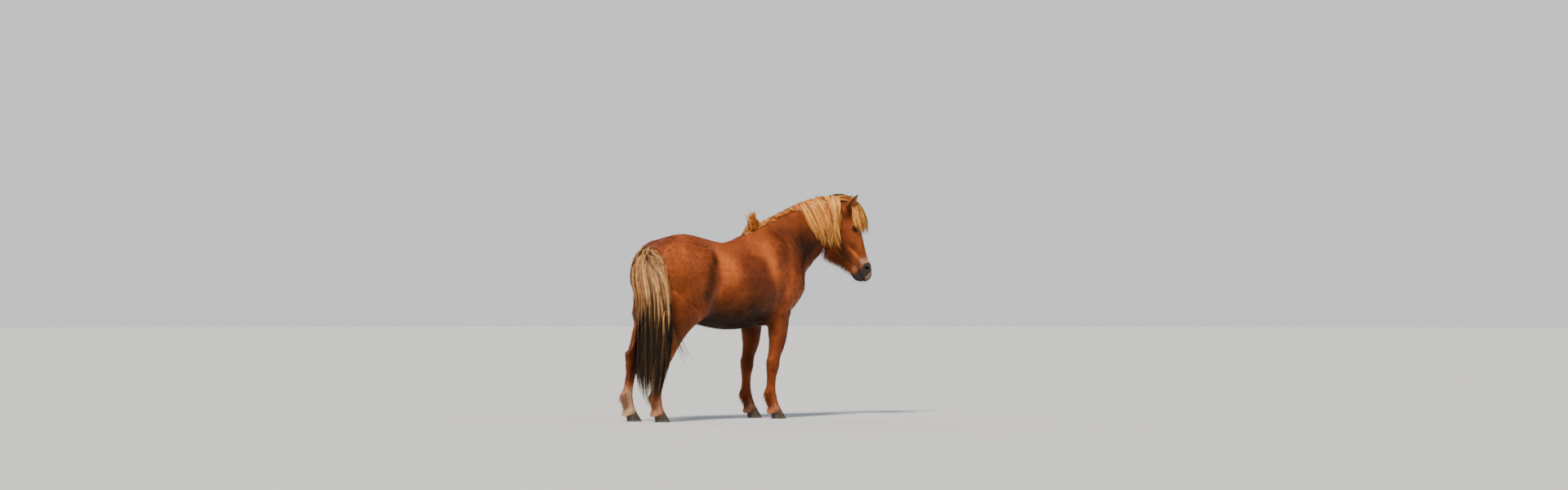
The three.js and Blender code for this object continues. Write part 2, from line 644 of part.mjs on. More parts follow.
// A lock is a flat tapered strip along a path: each section is a low ridge, flat on the side that lies on the others.
const LOCK_WIDTH = [0.5, 0.85, 1, 0.95, 0.8, 0.58, 0.05];
const LOCK_DEPTH = [0.75, 1, 1, 0.9, 0.75, 0.6, 0.12];
const readOff = (table, t) => {
  const at = Math.min(table.length - 1.001, t * (table.length - 1));
  const i = Math.floor(at);
  return table[i] + (table[i + 1] - table[i]) * (at - i);
};
function lock(path, wide, deep) {
  return loft(path.map(({ at, out }, i) => {
    const t = i / (path.length - 1);
    const along = path[Math.min(i + 1, path.length - 1)].at.clone().sub(path[Math.max(i - 1, 0)].at).normalize();
    const across = along.clone().cross(out).normalize().multiplyScalar(wide * readOff(LOCK_WIDTH, t));
    const over = across.clone().cross(along).setLength(deep * readOff(LOCK_DEPTH, t));
    return [at.clone().add(across), at.clone().add(over), at.clone().sub(across)];
  }));
}

// Tail

const TAIL_SIDE = point(0.42, -0.91, 0);
const TAIL = [
  { at: point(-640, -4, 1204), wide: 46, deep: 34 },
  { at: point(-716, -18, 1226), wide: 74, deep: 48 },
  { at: point(-766, -70, 1148), wide: 118, deep: 60 },
  { at: point(-784, -132, 1030), wide: 136, deep: 62 },
  { at: point(-796, -186, 900), wide: 138, deep: 60 },
  { at: point(-812, -212, 750), wide: 148, deep: 58 },
  { at: point(-820, -208, 600), wide: 152, deep: 54 },
  { at: point(-826, -190, 450), wide: 144, deep: 50 },
  { at: point(-826, -174, 320), wide: 120, deep: 44 },
  { at: point(-826, -155, 200), wide: 88, deep: 36 },
  { at: point(-826, -138, 100), wide: 32, deep: 16 },
];
const TAIL_LOCKS = [ // rings of locks: how many, how far out in the tail, where they start and where they end
  { count: 3, out: 0.3, wide: 44, from: [0.16, 0.3], to: [0.93, 0.99] },
  { count: 10, out: 0.8, wide: 38, from: [0.02, 0.2], to: [0.84, 0.97] },
  { count: 3, out: 0.86, wide: 36, from: [0.12, 0.24], to: [0.55, 0.8] },
];
const tailLine = new THREE.CatmullRomCurve3(TAIL.map((s) => s.at), false, 'centripetal');
function tailPlace(t, sideways, behind) {
  const at = t * (TAIL.length - 1);
  const i = Math.min(TAIL.length - 2, Math.floor(at));
  const size = (key) => TAIL[i][key] + (TAIL[i + 1][key] - TAIL[i][key]) * (at - i);
  const along = tailLine.getTangent(t);
  const side = TAIL_SIDE.clone().addScaledVector(along, -TAIL_SIDE.dot(along)).normalize();
  const third = along.clone().cross(side);
  return {
    at: tailLine.getPoint(t).addScaledVector(side, size('wide') * sideways)
      .addScaledVector(third, size('deep') * behind),
    out: side.multiplyScalar(sideways / size('wide')).addScaledVector(third, behind / size('deep')).normalize(),
  };
}
function tail() {
  const roll = dice(41);
  const core = TAIL.slice(0, 6);
  const pieces = [tube(core.map((s) => s.at), core.map((s, i) =>
    [s.wide, s.deep].map((size) => size * (i < 2 ? 0.9 : 0.72 - 0.1 * (i - 2)))), TAIL_SIDE, 10)];
  for (const { count, out, wide, from, to } of TAIL_LOCKS) {
    for (let i = 0; i < count; i++) {
      const angle = ((i + between(roll, -0.25, 0.25)) / count) * 2 * Math.PI;
      const start = between(roll, ...from);
      const end = between(roll, ...to);
      const sway = between(roll, -0.12, 0.12);
      const path = [];
      const steps = 5;
      for (let k = 0; k <= steps; k++) {
        const share = k / steps;
        const t = start + (end - start) * share;
        const spread = out * (0.35 + 0.65 * Math.min(1, share * 4));
        const turned = angle + sway * Math.sin(share * 5);
        path.push(tailPlace(t, spread * Math.cos(turned), spread * Math.sin(turned)));
      }
      pieces.push(lock(path, wide * between(roll, 0.9, 1.15), between(roll, 13, 18)));
    }
  }
  return joined(pieces);
}

// The mane's own stations from the withers to the poll: share along its line, how far it falls on the near (right)
// side and on the far side, how thick it lies, and how much it sweeps towards the head as it falls.
const MANE = [
  [0, 20, 90, 8, 0.3],
  [0.1, 35, 170, 12, 0.3],
  [0.22, 50, 230, 15, 0.3],
  [0.36, 90, 250, 18, 0.32],
  [0.5, 180, 240, 20, 0.32],
  [0.6, 300, 210, 24, 0.32],
  [0.69, 400, 160, 27, 0.3],
  [0.79, 440, 110, 30, 0.14],
  [0.89, 450, 80, 32, -0.04],
  [0.96, 440, 60, 32, -0.16],
  [1, 430, 50, 30, -0.2],
];
const maneLine = new THREE.CatmullRomCurve3([point(320, 0, 1330), point(400, 0, 1345), ...CREST.map((s) => s.at)],
  false, 'centripetal');
const crestTop = (share) => surface(maneLine.getPointAt(share).addScaledVector(UP, 90)).at;

// What the stations say at any share of the mane's line
function maneAt(share) {
  const next = Math.max(1, MANE.findIndex(([s]) => s >= share));
  const t = (share - MANE[next - 1][0]) / (MANE[next][0] - MANE[next - 1][0]);
  const mixed = MANE[next].map((value, i) => MANE[next - 1][i] * (1 - t) + value * t);
  return { near: mixed[1], far: mixed[2], thick: mixed[3], sweep: mixed[4] };
}

// How hair falls from the crest: down over the side of the neck, with a sweep towards the head
function fall(share, side, sweep, wave = 0) {
  const forward = maneLine.getTangentAt(share).setZ(0).normalize();
  return (at, t) => point(0, side * 0.5, 0).add(DOWN).addScaledVector(forward, sweep + wave * Math.sin(5 * t));
}

// The hair that lies under the locks, thin and reaching less than half as far
function maneCore() {
  return loft(MANE.map(([share]) => {
    const { near, far, thick, sweep } = maneAt(share);
    const steps = 4;
    const lie = (t) => 7 + 0.85 * thick * Math.sqrt(1 - t * t);
    const nearPath = drape(crestTop(share), near * 0.42, steps, fall(share, -1, sweep), lie).reverse();
    const farPath = drape(crestTop(share), far * 0.42, steps, fall(share, 1, sweep), lie).slice(1);
    const over = [...nearPath, ...farPath];
    const under = over.map(({ at, out }, i) =>
      at.clone().addScaledVector(out, 5 - lie(Math.abs(i - steps) / steps))).reverse();
    return [...over.map((step) => step.at), ...under];
  }));
}

const MANE_LOCKS = [ // rows of locks: side they fall to, how many, where along the line, how high and wide they lie
  { side: 1, count: 9, from: 0, to: 0.8, rise: 0.85, wide: 38 },
  { side: -1, count: 10, from: 0.4, to: 0.965, rise: 0.85, wide: 31 },
  { side: -1, count: 4, from: 0.04, to: 0.42, rise: 0.85, wide: 36 },
  { side: -1, count: 5, from: 0.52, to: 0.94, rise: 1.35, wide: 28 },
];
function mane() {
  const roll = dice(7);
  const pieces = [maneCore()];
  for (const { side, count, from, to, rise, wide } of MANE_LOCKS) {
    for (let i = 0; i < count; i++) {
      const share = Math.min(0.99, Math.max(0.01, from + ((to - from) * (i + between(roll, 0.2, 0.8))) / count));
      const { near, far, thick, sweep } = maneAt(share);
      const length = (side < 0 ? near : far) * between(roll, 0.86, 1.06);
      const lie = (t) => thick * rise * (t < 0.2 ? 0.3 + 3.5 * t : 1) * (1 - 0.6 * t) + 6;
      const way = fall(share, side, sweep + between(roll, -0.07, 0.07), between(roll, -0.12, 0.12));
      const steps = length > 200 ? 5 : 4;
      const path = drape(crestTop(share), length, steps, way, lie);
      pieces.push(lock(path, wide * between(roll, 0.9, 1.15), between(roll, 11, 14)));
    }
  }
  // wind lifts the hair at the withers into a tuft
  for (let i = 0; i < 4; i++) {
    const share = 0.012 + 0.02 * i;
    const root = crestTop(share);
    const lean = between(roll, -0.55, -0.1);
    const high = between(roll, 100, 140);
    const path = [0, 0.25, 0.5, 0.75, 1].map((t) => ({
      at: root.clone().add(point(high * (lean * t + 0.35 * t ** 3), -15 + i * 6 - 20 * t,
        (high + 14) * (t - 0.16 * t ** 3) - 14)),
      out: point(-0.5, -1, 0).normalize(),
    }));
    pieces.push(lock(path, between(roll, 16, 22), 7));
  }
  return joined(pieces);
}

// Forelock

function forelock() {
  const roll = dice(23);
  const pieces = [tube([onHead(-24, 40), onHead(40, 80), onHead(100, 88)], [[34, 22], [40, 30], [20, 16]],
    headLeft, 8)];
  const count = 9;
  for (let i = 0; i < count; i++) {
    const aside = ((i + 0.5) / count) * 2 - 1;
    const layer = i % 2;
    const end = between(roll, 190, 240) - 40 * aside * aside;
    const front = 86 + 48 * Math.sqrt(1 - aside * aside) * (layer ? 0.75 : 1);
    const drift = between(roll, -8, 8);
    const path = [0, 0.2, 0.45, 0.7, 1].map((t) => ({
      at: onHead(-22 + (end + 22) * t, 44 + (front - 44) * Math.sin(Math.min(1, t * 1.6) * Math.PI / 2) - 6 * t * t,
        aside * (18 + 34 * Math.min(1, t * 2) - 14 * t * t) + drift * t),
      out: headWay(0, 1, aside * 0.9).normalize(),
    }));
    pieces.push(lock(path, between(roll, 18, 24), between(roll, 9, 12)));
  }
  return joined(pieces);
}

// The nodes

const COAT = { color: 0x8a3a12, roughness: 0.55 };
const MUZZLE = { color: 0x4a4240, roughness: 0.6 };
const MANE_HAIR = { color: 0xc9894a, roughness: 0.6 };
const TAIL_HAIR = { color: 0x5a4636, roughness: 0.65 };
const HORN = { color: 0x3a332e, roughness: 0.5 };
const WET_EYE = { color: 0x150d08, roughness: 0.08 };

const horse = new THREE.Group();
horse.name = 'icelandic_horse';
function node(name, made, look) {
  const solid = largest(solidOf(geometryOf(made)));
  const mesh = new THREE.Mesh(geometryOf(solid), new THREE.MeshStandardMaterial({ ...look, metalness: 0 }));
  mesh.name = name;
  horse.add(mesh);
  return solid;
}

const torsoSolid = node('torso', torso(), COAT);
const neckSolid = node('neck', neck(), COAT);
const headSolid = node('head', head(), COAT);
const clearOf = (solid, neighbours) =>
  largest(neighbours.reduce((s, n) => s.subtract(grown(n)).subtract(grown(n, CLEAR / 2)).subtract(n), solid));
const ears = [];
for (const [name, side] of Object.entries(SIDES)) {
  ears.push(node(`ear_${name}`, clearOf(ear(side), [headSolid]), COAT));
  node(`eye_${name}`, solidOf(ball(EYE.radius, EYE_SPOKES).translate(...eyeCentre(side).toArray())), WET_EYE);
}
const hindParts = [];
for (const leg of legs) {
  const { upper, lower } = legSolids(leg);
  node(`upper_${leg.name}`, upper, COAT);
  node(`lower_${leg.name}`, lower, COAT);
  if (leg.end === 'hind') hindParts.push(upper, lower);
  node(`hoof_${leg.name}`, hoof(leg), HORN);
}
const forelockSolid = node('forelock', clearOf(forelock(), [headSolid, ...ears]), MANE_HAIR);
node('mane', clearOf(mane(), [torsoSolid, neckSolid, headSolid, ...ears, forelockSolid]), MANE_HAIR);
node('tail', clearOf(tail(), [torsoSolid, ...hindParts]), TAIL_HAIR);

const box = new THREE.Box3().setFromObject(horse);
const middle = box.getCenter(point(0, 0, 0));
for (const mesh of horse.children) mesh.geometry.translate(-middle.x, -middle.y, -box.min.z);

export default horse;
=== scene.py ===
"""The looks of a standing icelandic horse, life size: skin, short coat, long hair, eyes and hooves."""
import math

import bmesh
import bpy
import numpy as np
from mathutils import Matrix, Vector
from mathutils.bvhtree import BVHTree


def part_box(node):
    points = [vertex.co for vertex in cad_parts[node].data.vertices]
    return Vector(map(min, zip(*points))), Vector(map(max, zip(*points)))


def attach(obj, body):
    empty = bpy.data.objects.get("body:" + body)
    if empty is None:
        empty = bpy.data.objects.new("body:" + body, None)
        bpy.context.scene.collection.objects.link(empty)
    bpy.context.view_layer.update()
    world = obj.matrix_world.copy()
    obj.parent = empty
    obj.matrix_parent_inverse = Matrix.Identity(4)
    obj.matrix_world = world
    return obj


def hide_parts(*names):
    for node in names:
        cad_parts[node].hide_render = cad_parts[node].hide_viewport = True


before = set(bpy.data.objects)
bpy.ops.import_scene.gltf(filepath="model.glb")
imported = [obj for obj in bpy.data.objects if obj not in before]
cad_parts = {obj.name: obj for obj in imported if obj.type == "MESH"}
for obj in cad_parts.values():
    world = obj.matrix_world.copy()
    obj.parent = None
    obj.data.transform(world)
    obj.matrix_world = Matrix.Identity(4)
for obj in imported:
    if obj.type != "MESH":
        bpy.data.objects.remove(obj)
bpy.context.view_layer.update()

SIDES = {"right": -1, "left": 1}
UP = np.array((0.0, 0.0, 1.0))


# The head's own frame: u runs down the face from the poll, v out of the forehead, w to the horse's left.

HEAD_TURN = math.radians(26)
HEAD_PITCH = math.radians(21)
AHEAD = np.array((math.cos(HEAD_TURN), -math.sin(HEAD_TURN), 0.0))
DOWN_FACE = AHEAD * math.sin(HEAD_PITCH) - UP * math.cos(HEAD_PITCH)
OUT_OF_FACE = AHEAD * math.cos(HEAD_PITCH) + UP * math.sin(HEAD_PITCH)
HEAD_LEFT = np.array((math.sin(HEAD_TURN), math.cos(HEAD_TURN), 0.0))
HEAD_AXES = np.stack((DOWN_FACE, OUT_OF_FACE, HEAD_LEFT))
EYE = (0.200, 0.013, 0.076)
EYE_RADIUS = 0.020
NOSTRIL = (0.514, 0.002, 0.043)


def middle(node):
    low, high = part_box(node)
    return np.array((low + high) / 2)


POLL = (middle("eye_left") + middle("eye_right")) / 2 - np.array((EYE[0], EYE[1], 0)) @ HEAD_AXES
POLL_IN_DRAWING = np.array((1.127, -0.130, 1.611))
SHIFT = POLL_IN_DRAWING - POLL


def place(x, y, z):
    """A point of the frame, given in the horse's own drawing: millimetres from the middle of its stance."""
    return np.array((x, y, z)) / 1000 - SHIFT


def on_head(u, v, w=0.0):
    return POLL + np.array((u, v, w)) @ HEAD_AXES


def head_way(u, v, w=0.0):
    way = np.array((u, v, w), float) @ HEAD_AXES
    return way / np.linalg.norm(way)


def head_places(points):
    """u, v and w of many points."""
    return (points - POLL) @ HEAD_AXES.T


def away_from(head, feature, further_out=0.0):
    """How far places on the head are from a feature that it has on both sides."""
    u, v, w = head.T
    return np.sqrt((u - feature[0]) ** 2 + (v - feature[1]) ** 2
                   + (np.abs(w) - feature[2] - further_out) ** 2)


def step(values, low, high):
    """0 below low, 1 above high, smooth between."""
    t = np.clip((values - low) / (high - low), 0, 1)
    return t * t * (3 - 2 * t)


def band(values, low, full, fade, high):
    """1 between full and fade, 0 below low and above high."""
    return step(values, low, full) * (1 - step(values, fade, high))


def hump(away, wide):
    """1 at no distance, and nearly nothing at twice the width."""
    return np.exp(-(away / wide) ** 2)


def spot(across, along, at_across, at_along, wide, long):
    """An oval hump on a flat drawing."""
    return np.exp(-((across - at_across) / wide) ** 2 - ((along - at_along) / long) ** 2)


def unit(ways):
    return ways / np.maximum(np.linalg.norm(ways, axis=-1, keepdims=True), 1e-12)


def bumps(points, size, seed):
    """A smooth seeded unevenness from -1 to 1, with lumps of about that size."""
    dice = np.random.default_rng(seed)
    total = np.zeros(len(points))
    for _ in range(7):
        way = unit(dice.normal(size=3)) * (2 * math.pi / size) * dice.uniform(0.6, 1.5)
        total += np.sin(points @ way + dice.uniform(0, 7))
    return total / 4


def curve_through(points, count):
    """Even places on a smooth curve through the points."""
    given = np.array(points, float)
    ends = np.vstack((2 * given[0] - given[1], given, 2 * given[-1] - given[-2]))
    fine = []
    for a, b, c, d in zip(ends, ends[1:], ends[2:], ends[3:]):
        for t in np.linspace(0, 1, 12, endpoint=False):
            fine.append(0.5 * (2 * b + (c - a) * t + (2 * a - 5 * b + 4 * c - d) * t * t
                               + (3 * b - a - 3 * c + d) * t ** 3))
    fine = np.vstack((fine, given[-1]))
    run = np.concatenate(([0], np.cumsum(np.linalg.norm(np.diff(fine[:, :3], axis=0), axis=1))))
    at = np.linspace(0, run[-1], count)
    return np.stack([np.interp(at, run, column) for column in fine.T], 1)


def read_at(table, at):
    """The rows of a table at places from 0 to 1 along it."""
    run = np.linspace(0, 1, len(table))
    return np.stack([np.interp(at, run, column) for column in table.T], -1)


# Small tools for meshes

def piece_of(name, mesh, material, slot, *nodes):
    """A finished piece of the horse, which stands for the named nodes."""
    piece = bpy.data.objects.new(name, mesh)
    bpy.context.scene.collection.objects.link(piece)
    mesh.materials.clear()
    mesh.materials.append(material)
    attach(piece, "root")
    if nodes:
        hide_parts(*nodes)
    return piece


def array_mesh(name, points, corners):
    mesh = bpy.data.meshes.new(name)
    mesh.vertices.add(len(points))
    mesh.vertices.foreach_set("co", np.asarray(points, np.float32).ravel())
    mesh.loops.add(corners.size)
    mesh.loops.foreach_set("vertex_index", corners.astype(np.int32).ravel())
    mesh.polygons.add(len(corners))
    mesh.polygons.foreach_set("loop_start", np.arange(0, corners.size, 3, dtype=np.int32))
    mesh.update(calc_edges=True)
    mesh.shade_smooth()
    return mesh


def write_values(mesh, name, values):
    layer = mesh.attributes.new(name, "FLOAT", "POINT")
    layer.data.foreach_set("value", np.asarray(values, np.float32))


def points_of(mesh, what="co"):
    co = np.zeros(len(mesh.vertices) * 3, np.float32)
    mesh.vertices.foreach_get(what, co)
    return co.reshape(-1, 3).astype(float)


def normals_of(mesh):
    return points_of(mesh, "normal")


def edges_of(mesh):
    ends = np.zeros(len(mesh.edges) * 2, np.int32)
    mesh.edges.foreach_get("vertices", ends)
    return ends.reshape(-1, 2)


def put_points(mesh, points):
    mesh.vertices.foreach_set("co", np.asarray(points, np.float32).ravel())
    mesh.update()


SMOOTHING, SWELLING_BACK = 0.5, -0.53


def relax(mesh, rounds, share=None):
    """Evens out a mesh without making it thinner."""
    points, ends = points_of(mesh), edges_of(mesh)
    count = len(points)
    degree = np.maximum(np.bincount(ends.ravel(), minlength=count), 1)
    for give in (SMOOTHING, SWELLING_BACK) * rounds:
        mean = np.stack([np.bincount(ends[:, 0], points[ends[:, 1], k], count)
                         + np.bincount(ends[:, 1], points[ends[:, 0], k], count) for k in range(3)], 1)
        change = give * (mean / degree[:, None] - points)
        points += change if share is None else change * share[:, None]
    put_points(mesh, points)


# The skin: one closed surface over every node of flesh

FLESH = ["torso", "neck", "head", "ear_left", "ear_right"]
FLESH += [f"{part}_{leg}_leg_{side}"
          for part in ("upper", "lower") for leg in ("fore", "hind") for side in SIDES]
BODY_GRAIN = 0.0088  # length of an edge of the even surface
HEAD_GRAIN = 0.0032
SWELL = 0.0012  # closes the gaps between the nodes
NECK_CUT = (925, -62, 1430)
NECK_CUT_GAP = 0.004


def remeshed(nodes, grain):
    """Copies of the nodes, swollen until they meet, as one even surface."""
    made = bmesh.new()
    for node in nodes:
        made.from_mesh(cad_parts[node].data)
    bmesh.ops.remove_doubles(made, verts=made.verts, dist=1e-5)
    made.normal_update()
    for vertex in made.verts:
        vertex.co += vertex.normal * SWELL
    mesh = bpy.data.meshes.new("flesh")
    made.to_mesh(mesh)
    made.free()
    solid = bpy.data.objects.new("flesh", mesh)
    bpy.context.scene.collection.objects.link(solid)
    even = solid.modifiers.new("even", "REMESH")
    even.mode = "VOXEL"
    even.voxel_size = grain
    graph = bpy.context.evaluated_depsgraph_get()
    result = bpy.data.meshes.new_from_object(solid.evaluated_get(graph))
    bpy.data.objects.remove(solid)
    return result


def cut_across(made, at, ahead, **cleared):
    bmesh.ops.bisect_plane(made, geom=made.verts[:] + made.edges[:] + made.faces[:], plane_co=at,
                           plane_no=ahead, **cleared)


def smooth(made, verts):
    bmesh.ops.smooth_vert(made, verts=verts, factor=0.5, use_axis_x=True, use_axis_y=True, use_axis_z=True)


def skin_surface():
    """The body on a coarse grain and the head on a fine one, joined to one closed surface."""
    body = remeshed([n for n in FLESH if not n.startswith("ear_")], BODY_GRAIN)
    relax(body, 26)
    head = remeshed(["head", "neck", "ear_left", "ear_right", "eye_left", "eye_right"], HEAD_GRAIN)
    where = head_places(points_of(head))
    ears = step(where[:, 1], 0.035, 0.06) * step(-where[:, 0], -0.06, -0.02)
    relax(head, 10, share=1 - 0.8 * ears)
    relax(head, 30, share=1 - ears)

    # they are cut across the neck and bridged there
    cut, ahead = Vector(place(*NECK_CUT)), Vector((0.97, -0.2, 0.06)).normalized()
    made = bmesh.new()
    made.from_mesh(head)
    cut_across(made, cut + ahead * NECK_CUT_GAP, ahead, clear_inner=True)
    head.clear_geometry()
    made.to_mesh(head)
    made.clear()
    made.from_mesh(body)
    cut_across(made, cut, ahead, clear_outer=True)
    made.from_mesh(head)
    rims = [edge for edge in made.edges if edge.is_boundary]
    bmesh.ops.bridge_loops(made, edges=rims)
    near = [v for v in made.verts if abs((v.co - cut).dot(ahead)) < 0.02]
    for _ in range(6):
        smooth(made, near)
    refine(made)
    bmesh.ops.recalc_face_normals(made, faces=made.faces)
    mesh = bpy.data.meshes.new("skin")
    made.to_mesh(mesh)
    made.free()
    return mesh


def refine(made):
    """Finer faces round the eyes and nostrils."""
    chosen = set()
    for edge in made.edges:
        u, v, w = head_places(np.array((edge.verts[0].co + edge.verts[1].co) / 2))
        if math.dist((u, v, abs(w)), EYE) < 0.036 or math.dist((u, v, abs(w)), NOSTRIL) < 0.03:
            chosen.add(edge)
    bmesh.ops.subdivide_edges(made, edges=list(chosen), cuts=1, use_grid_fill=True)
    corners = {v for e in chosen for v in e.verts}
    bmesh.ops.triangulate(made, faces=[f for f in made.faces if len(f.verts) > 4])
    for _ in range(3):
        smooth(made, [v for v in corners if v.is_valid])


def along_line(points, line):
    """How far each point is from a line of points, and how far along it (0 to 1) the nearest place is."""
    line = np.array(line)
    best, share = np.full(len(points), 1e9), np.zeros(len(points))
    for i in range(len(line) - 1):
        a, way = line[i], line[i + 1] - line[i]
        t = np.clip((points - a) @ way / (way @ way), 0, 1)
        away = np.linalg.norm(points - a - t[:, None] * way, axis=1)
        closer = away < best
        best[closer] = away[closer]
        share[closer] = (i + t[closer]) / (len(line) - 1)
    return best, share


def stroke(points, line, wide, end):
    """How strong a stroke along a line is: lower at its ends, fading out to its sides."""
    away, share = along_line(points, line)
    return hump(away, wide) * np.sin(math.pi * np.clip(end + (1 - 2 * end) * share, 0, 1))


# Sculpting: each stroke follows a line and raises the skin (or lowers it, below zero) by so much over such
# a width.

HEAD_STROKES = [  # line in the head's frame with w for the left side, half-width, height
    ([(0.236, -0.022, 0.075), (0.300, -0.029, 0.064), (0.372, -0.036, 0.053)], 0.007, 0.0030),  # facial crest
    ([(0.262, -0.052, 0.085), (0.340, -0.056, 0.066), (0.400, -0.056, 0.054)], 0.012, -0.0030),
    ([(0.150, 0.040, 0.075), (0.178, 0.050, 0.079), (0.212, 0.046, 0.074)], 0.008, 0.0026),  # brow
    ([(0.085, 0.030, 0.074), (0.120, 0.028, 0.080), (0.145, 0.022, 0.082)], 0.014, -0.0050),  # temple
    # beside the nose bone, behind the nostril, edge of the cheek, below the cheek
    ([(0.270, 0.032, 0.045), (0.360, 0.034, 0.038), (0.450, 0.030, 0.034)], 0.010, -0.0030),
    ([(0.440, -0.010, 0.048), (0.485, 0.018, 0.044), (0.500, 0.030, 0.036)], 0.008, -0.0030),
    ([(0.140, -0.150, 0.066), (0.230, -0.190, 0.062), (0.300, -0.190, 0.050)], 0.012, 0.0025),
    ([(0.310, -0.120, 0.056), (0.390, -0.120, 0.050), (0.460, -0.108, 0.042)], 0.010, -0.0025),
    ([(0.245, 0.002, 0.080), (0.330, -0.008, 0.060), (0.430, -0.010, 0.050)], 0.004, 0.0012),  # veins
    ([(0.330, -0.008, 0.060), (0.380, 0.010, 0.050), (0.440, 0.014, 0.044)], 0.0035, 0.0010),
    ([(0.478, -0.074, 0.050), (0.500, -0.090, 0.042), (0.520, -0.100, 0.036)], 0.006, -0.0015),
    ([(0.530, -0.082, 0.036), (0.556, -0.092, 0.030), (0.570, -0.094, 0.012)], 0.008, 0.0020),  # chin
]
BODY_STROKES = [  # line on the left side of the body, half-width, height
    # groove of the throat, and behind the shoulder
    ([(905, 60, 1350), (780, 95, 1240), (660, 120, 1130), (600, 110, 1060)], 0.020, -0.0060),
    ([(560, 130, 1300), (520, 150, 1180), (470, 180, 1040), (440, 200, 950)], 0.030, -0.0050),
    ([(360, 240, 1120), (330, 260, 1000), (310, 255, 880)], 0.040, 0.0040),
    # hollow of the flank, and the hip behind it
    ([(-130, 120, 1290), (-190, 240, 1190), (-205, 285, 1030), (-240, 260, 900), (-330, 210, 815)],
     0.042, -0.0130),
    ([(-230, 130, 1300), (-300, 245, 1180), (-310, 275, 1030), (-340, 255, 920), (-400, 230, 830)],
     0.040, 0.0060),
    ([(-560, 190, 1120), (-560, 215, 980), (-540, 215, 850)], 0.035, -0.0030),  # between thigh and buttock
    ([(560, 190, 1010), (520, 200, 940), (470, 200, 880)], 0.028, -0.0030),
    ([(640, 60, 1090), (665, 45, 980), (620, 30, 880)], 0.020, -0.0040),  # between the breasts
    ([(430, 200, 780), (428, 195, 690), (424, 190, 600)], 0.014, -0.0025),  # muscles of the forearm
    ([(-470, 222, 760), (-540, 205, 670), (-610, 190, 580)], 0.020, -0.0030),  # above the hock
    ([(462, 185, 770), (440, 182, 640), (428, 170, 520)], 0.012, 0.0030),
    ([(388, 185, 740), (378, 180, 640), (384, 172, 540)], 0.013, 0.0025),
    ([(-560, 180, 640), (-640, 168, 560), (-700, 160, 500)], 0.010, 0.0035),  # the cord above the hock
    ([(-600, 172, 590), (-655, 166, 530), (-690, 162, 490)], 0.010, -0.0045),
    ([(-330, 235, 800), (-420, 236, 740), (-520, 210, 640)], 0.022, 0.0040),  # front of the thigh and gaskin
]
HEAD_STROKE_END, BODY_STROKE_END = 0.12, 0.15
THROAT = [(850, 66, 1185), (905, 76, 1240)]  # the full front of the neck
THROAT_WAY = unit(np.array((0.75, -0.25, -0.60)))
THROAT_PUSH, THROAT_REACH = 0.034, 0.075
JOINT_STROKES = {  # on each leg, from its knee or hock: line on its outer side, half-width, height
    "fore": [([(0.030, 0.022, 0.040), (0.034, 0.020, -0.020)], 0.012, 0.0025),
             ([(-0.006, 0.040, 0.030), (-0.002, 0.040, -0.020)], 0.010, -0.0022),
             ([(-0.044, 0.014, 0.020), (-0.044, 0.012, 0.0)], 0.011, 0.0035),
             ([(0.014, 0.036, -0.050), (0.018, 0.032, -0.075)], 0.009, -0.0020)],
    "hind": [([(-0.060, 0.0, 0.060), (-0.062, 0.0, 0.020)], 0.014, 0.0045),
             ([(-0.022, 0.036, 0.050), (-0.024, 0.036, -0.010)], 0.010, -0.0032),
             ([(0.022, 0.034, 0.030), (0.026, 0.030, -0.040)], 0.012, 0.0026),
             ([(0.0, 0.040, -0.050), (-0.004, 0.036, -0.080)], 0.010, 0.0020)],
}
LEG_BONES = {  # joints of a right leg, from the top down
    "fore": [(440, 150, 850), (403, 141, 415), (386, 134, 190), (432, 131, 62)],
    "hind": [(-375, 165, 845), (-682, 142, 448), (-750, 134, 190), (-722, 131, 62)],
}
SET_BACK = {"fore": 4, "hind": 46}  # how far behind its mate a left leg stands
COAT_DEPTH = 0.0042  # how far the skin lies inside the form, under the coat
COAT_THINNER = 0.0030  # so much less on the face and low on the legs


def leg_bones(leg, side):
    top = LEG_BONES[leg][0][2]
    back = SET_BACK[leg] if side > 0 else 0
    return [place(x - back * min(1, (top - z) / (0.45 * top)), side * y, z) for x, y, z in LEG_BONES[leg]]


def leg_relief(points, leg, side):
    """How much the bones of a leg's knee or hock, its tendons and its ergot raise the skin."""
    knee, fetlock = leg_bones(leg, side)[1:3]
    ergot = [fetlock + (-0.040, 0, -0.004), fetlock + (-0.038, 0, -0.012)]
    height = 0.005 * hump(along_line(points, ergot)[0], 0.018)
    for across in (side, -side):
        # the groove between the cannon bone and the tendons
        groove = [knee + (-0.010, 0.034 * across, -0.06), fetlock + (-0.010, 0.030 * across, 0.05)]
        height -= 0.0035 * hump(along_line(points, groove)[0], 0.0075)
        for line, wide, rise in JOINT_STROKES[leg]:
            spots = [knee + (a, b * across, c) for a, b, c in line]
            in_the_middle = line[0][1] == 0  # then both rounds of across make the same stroke
            height += rise * hump(along_line(points, spots)[0], wide) * (0.5 if in_the_middle else 1)
    return height


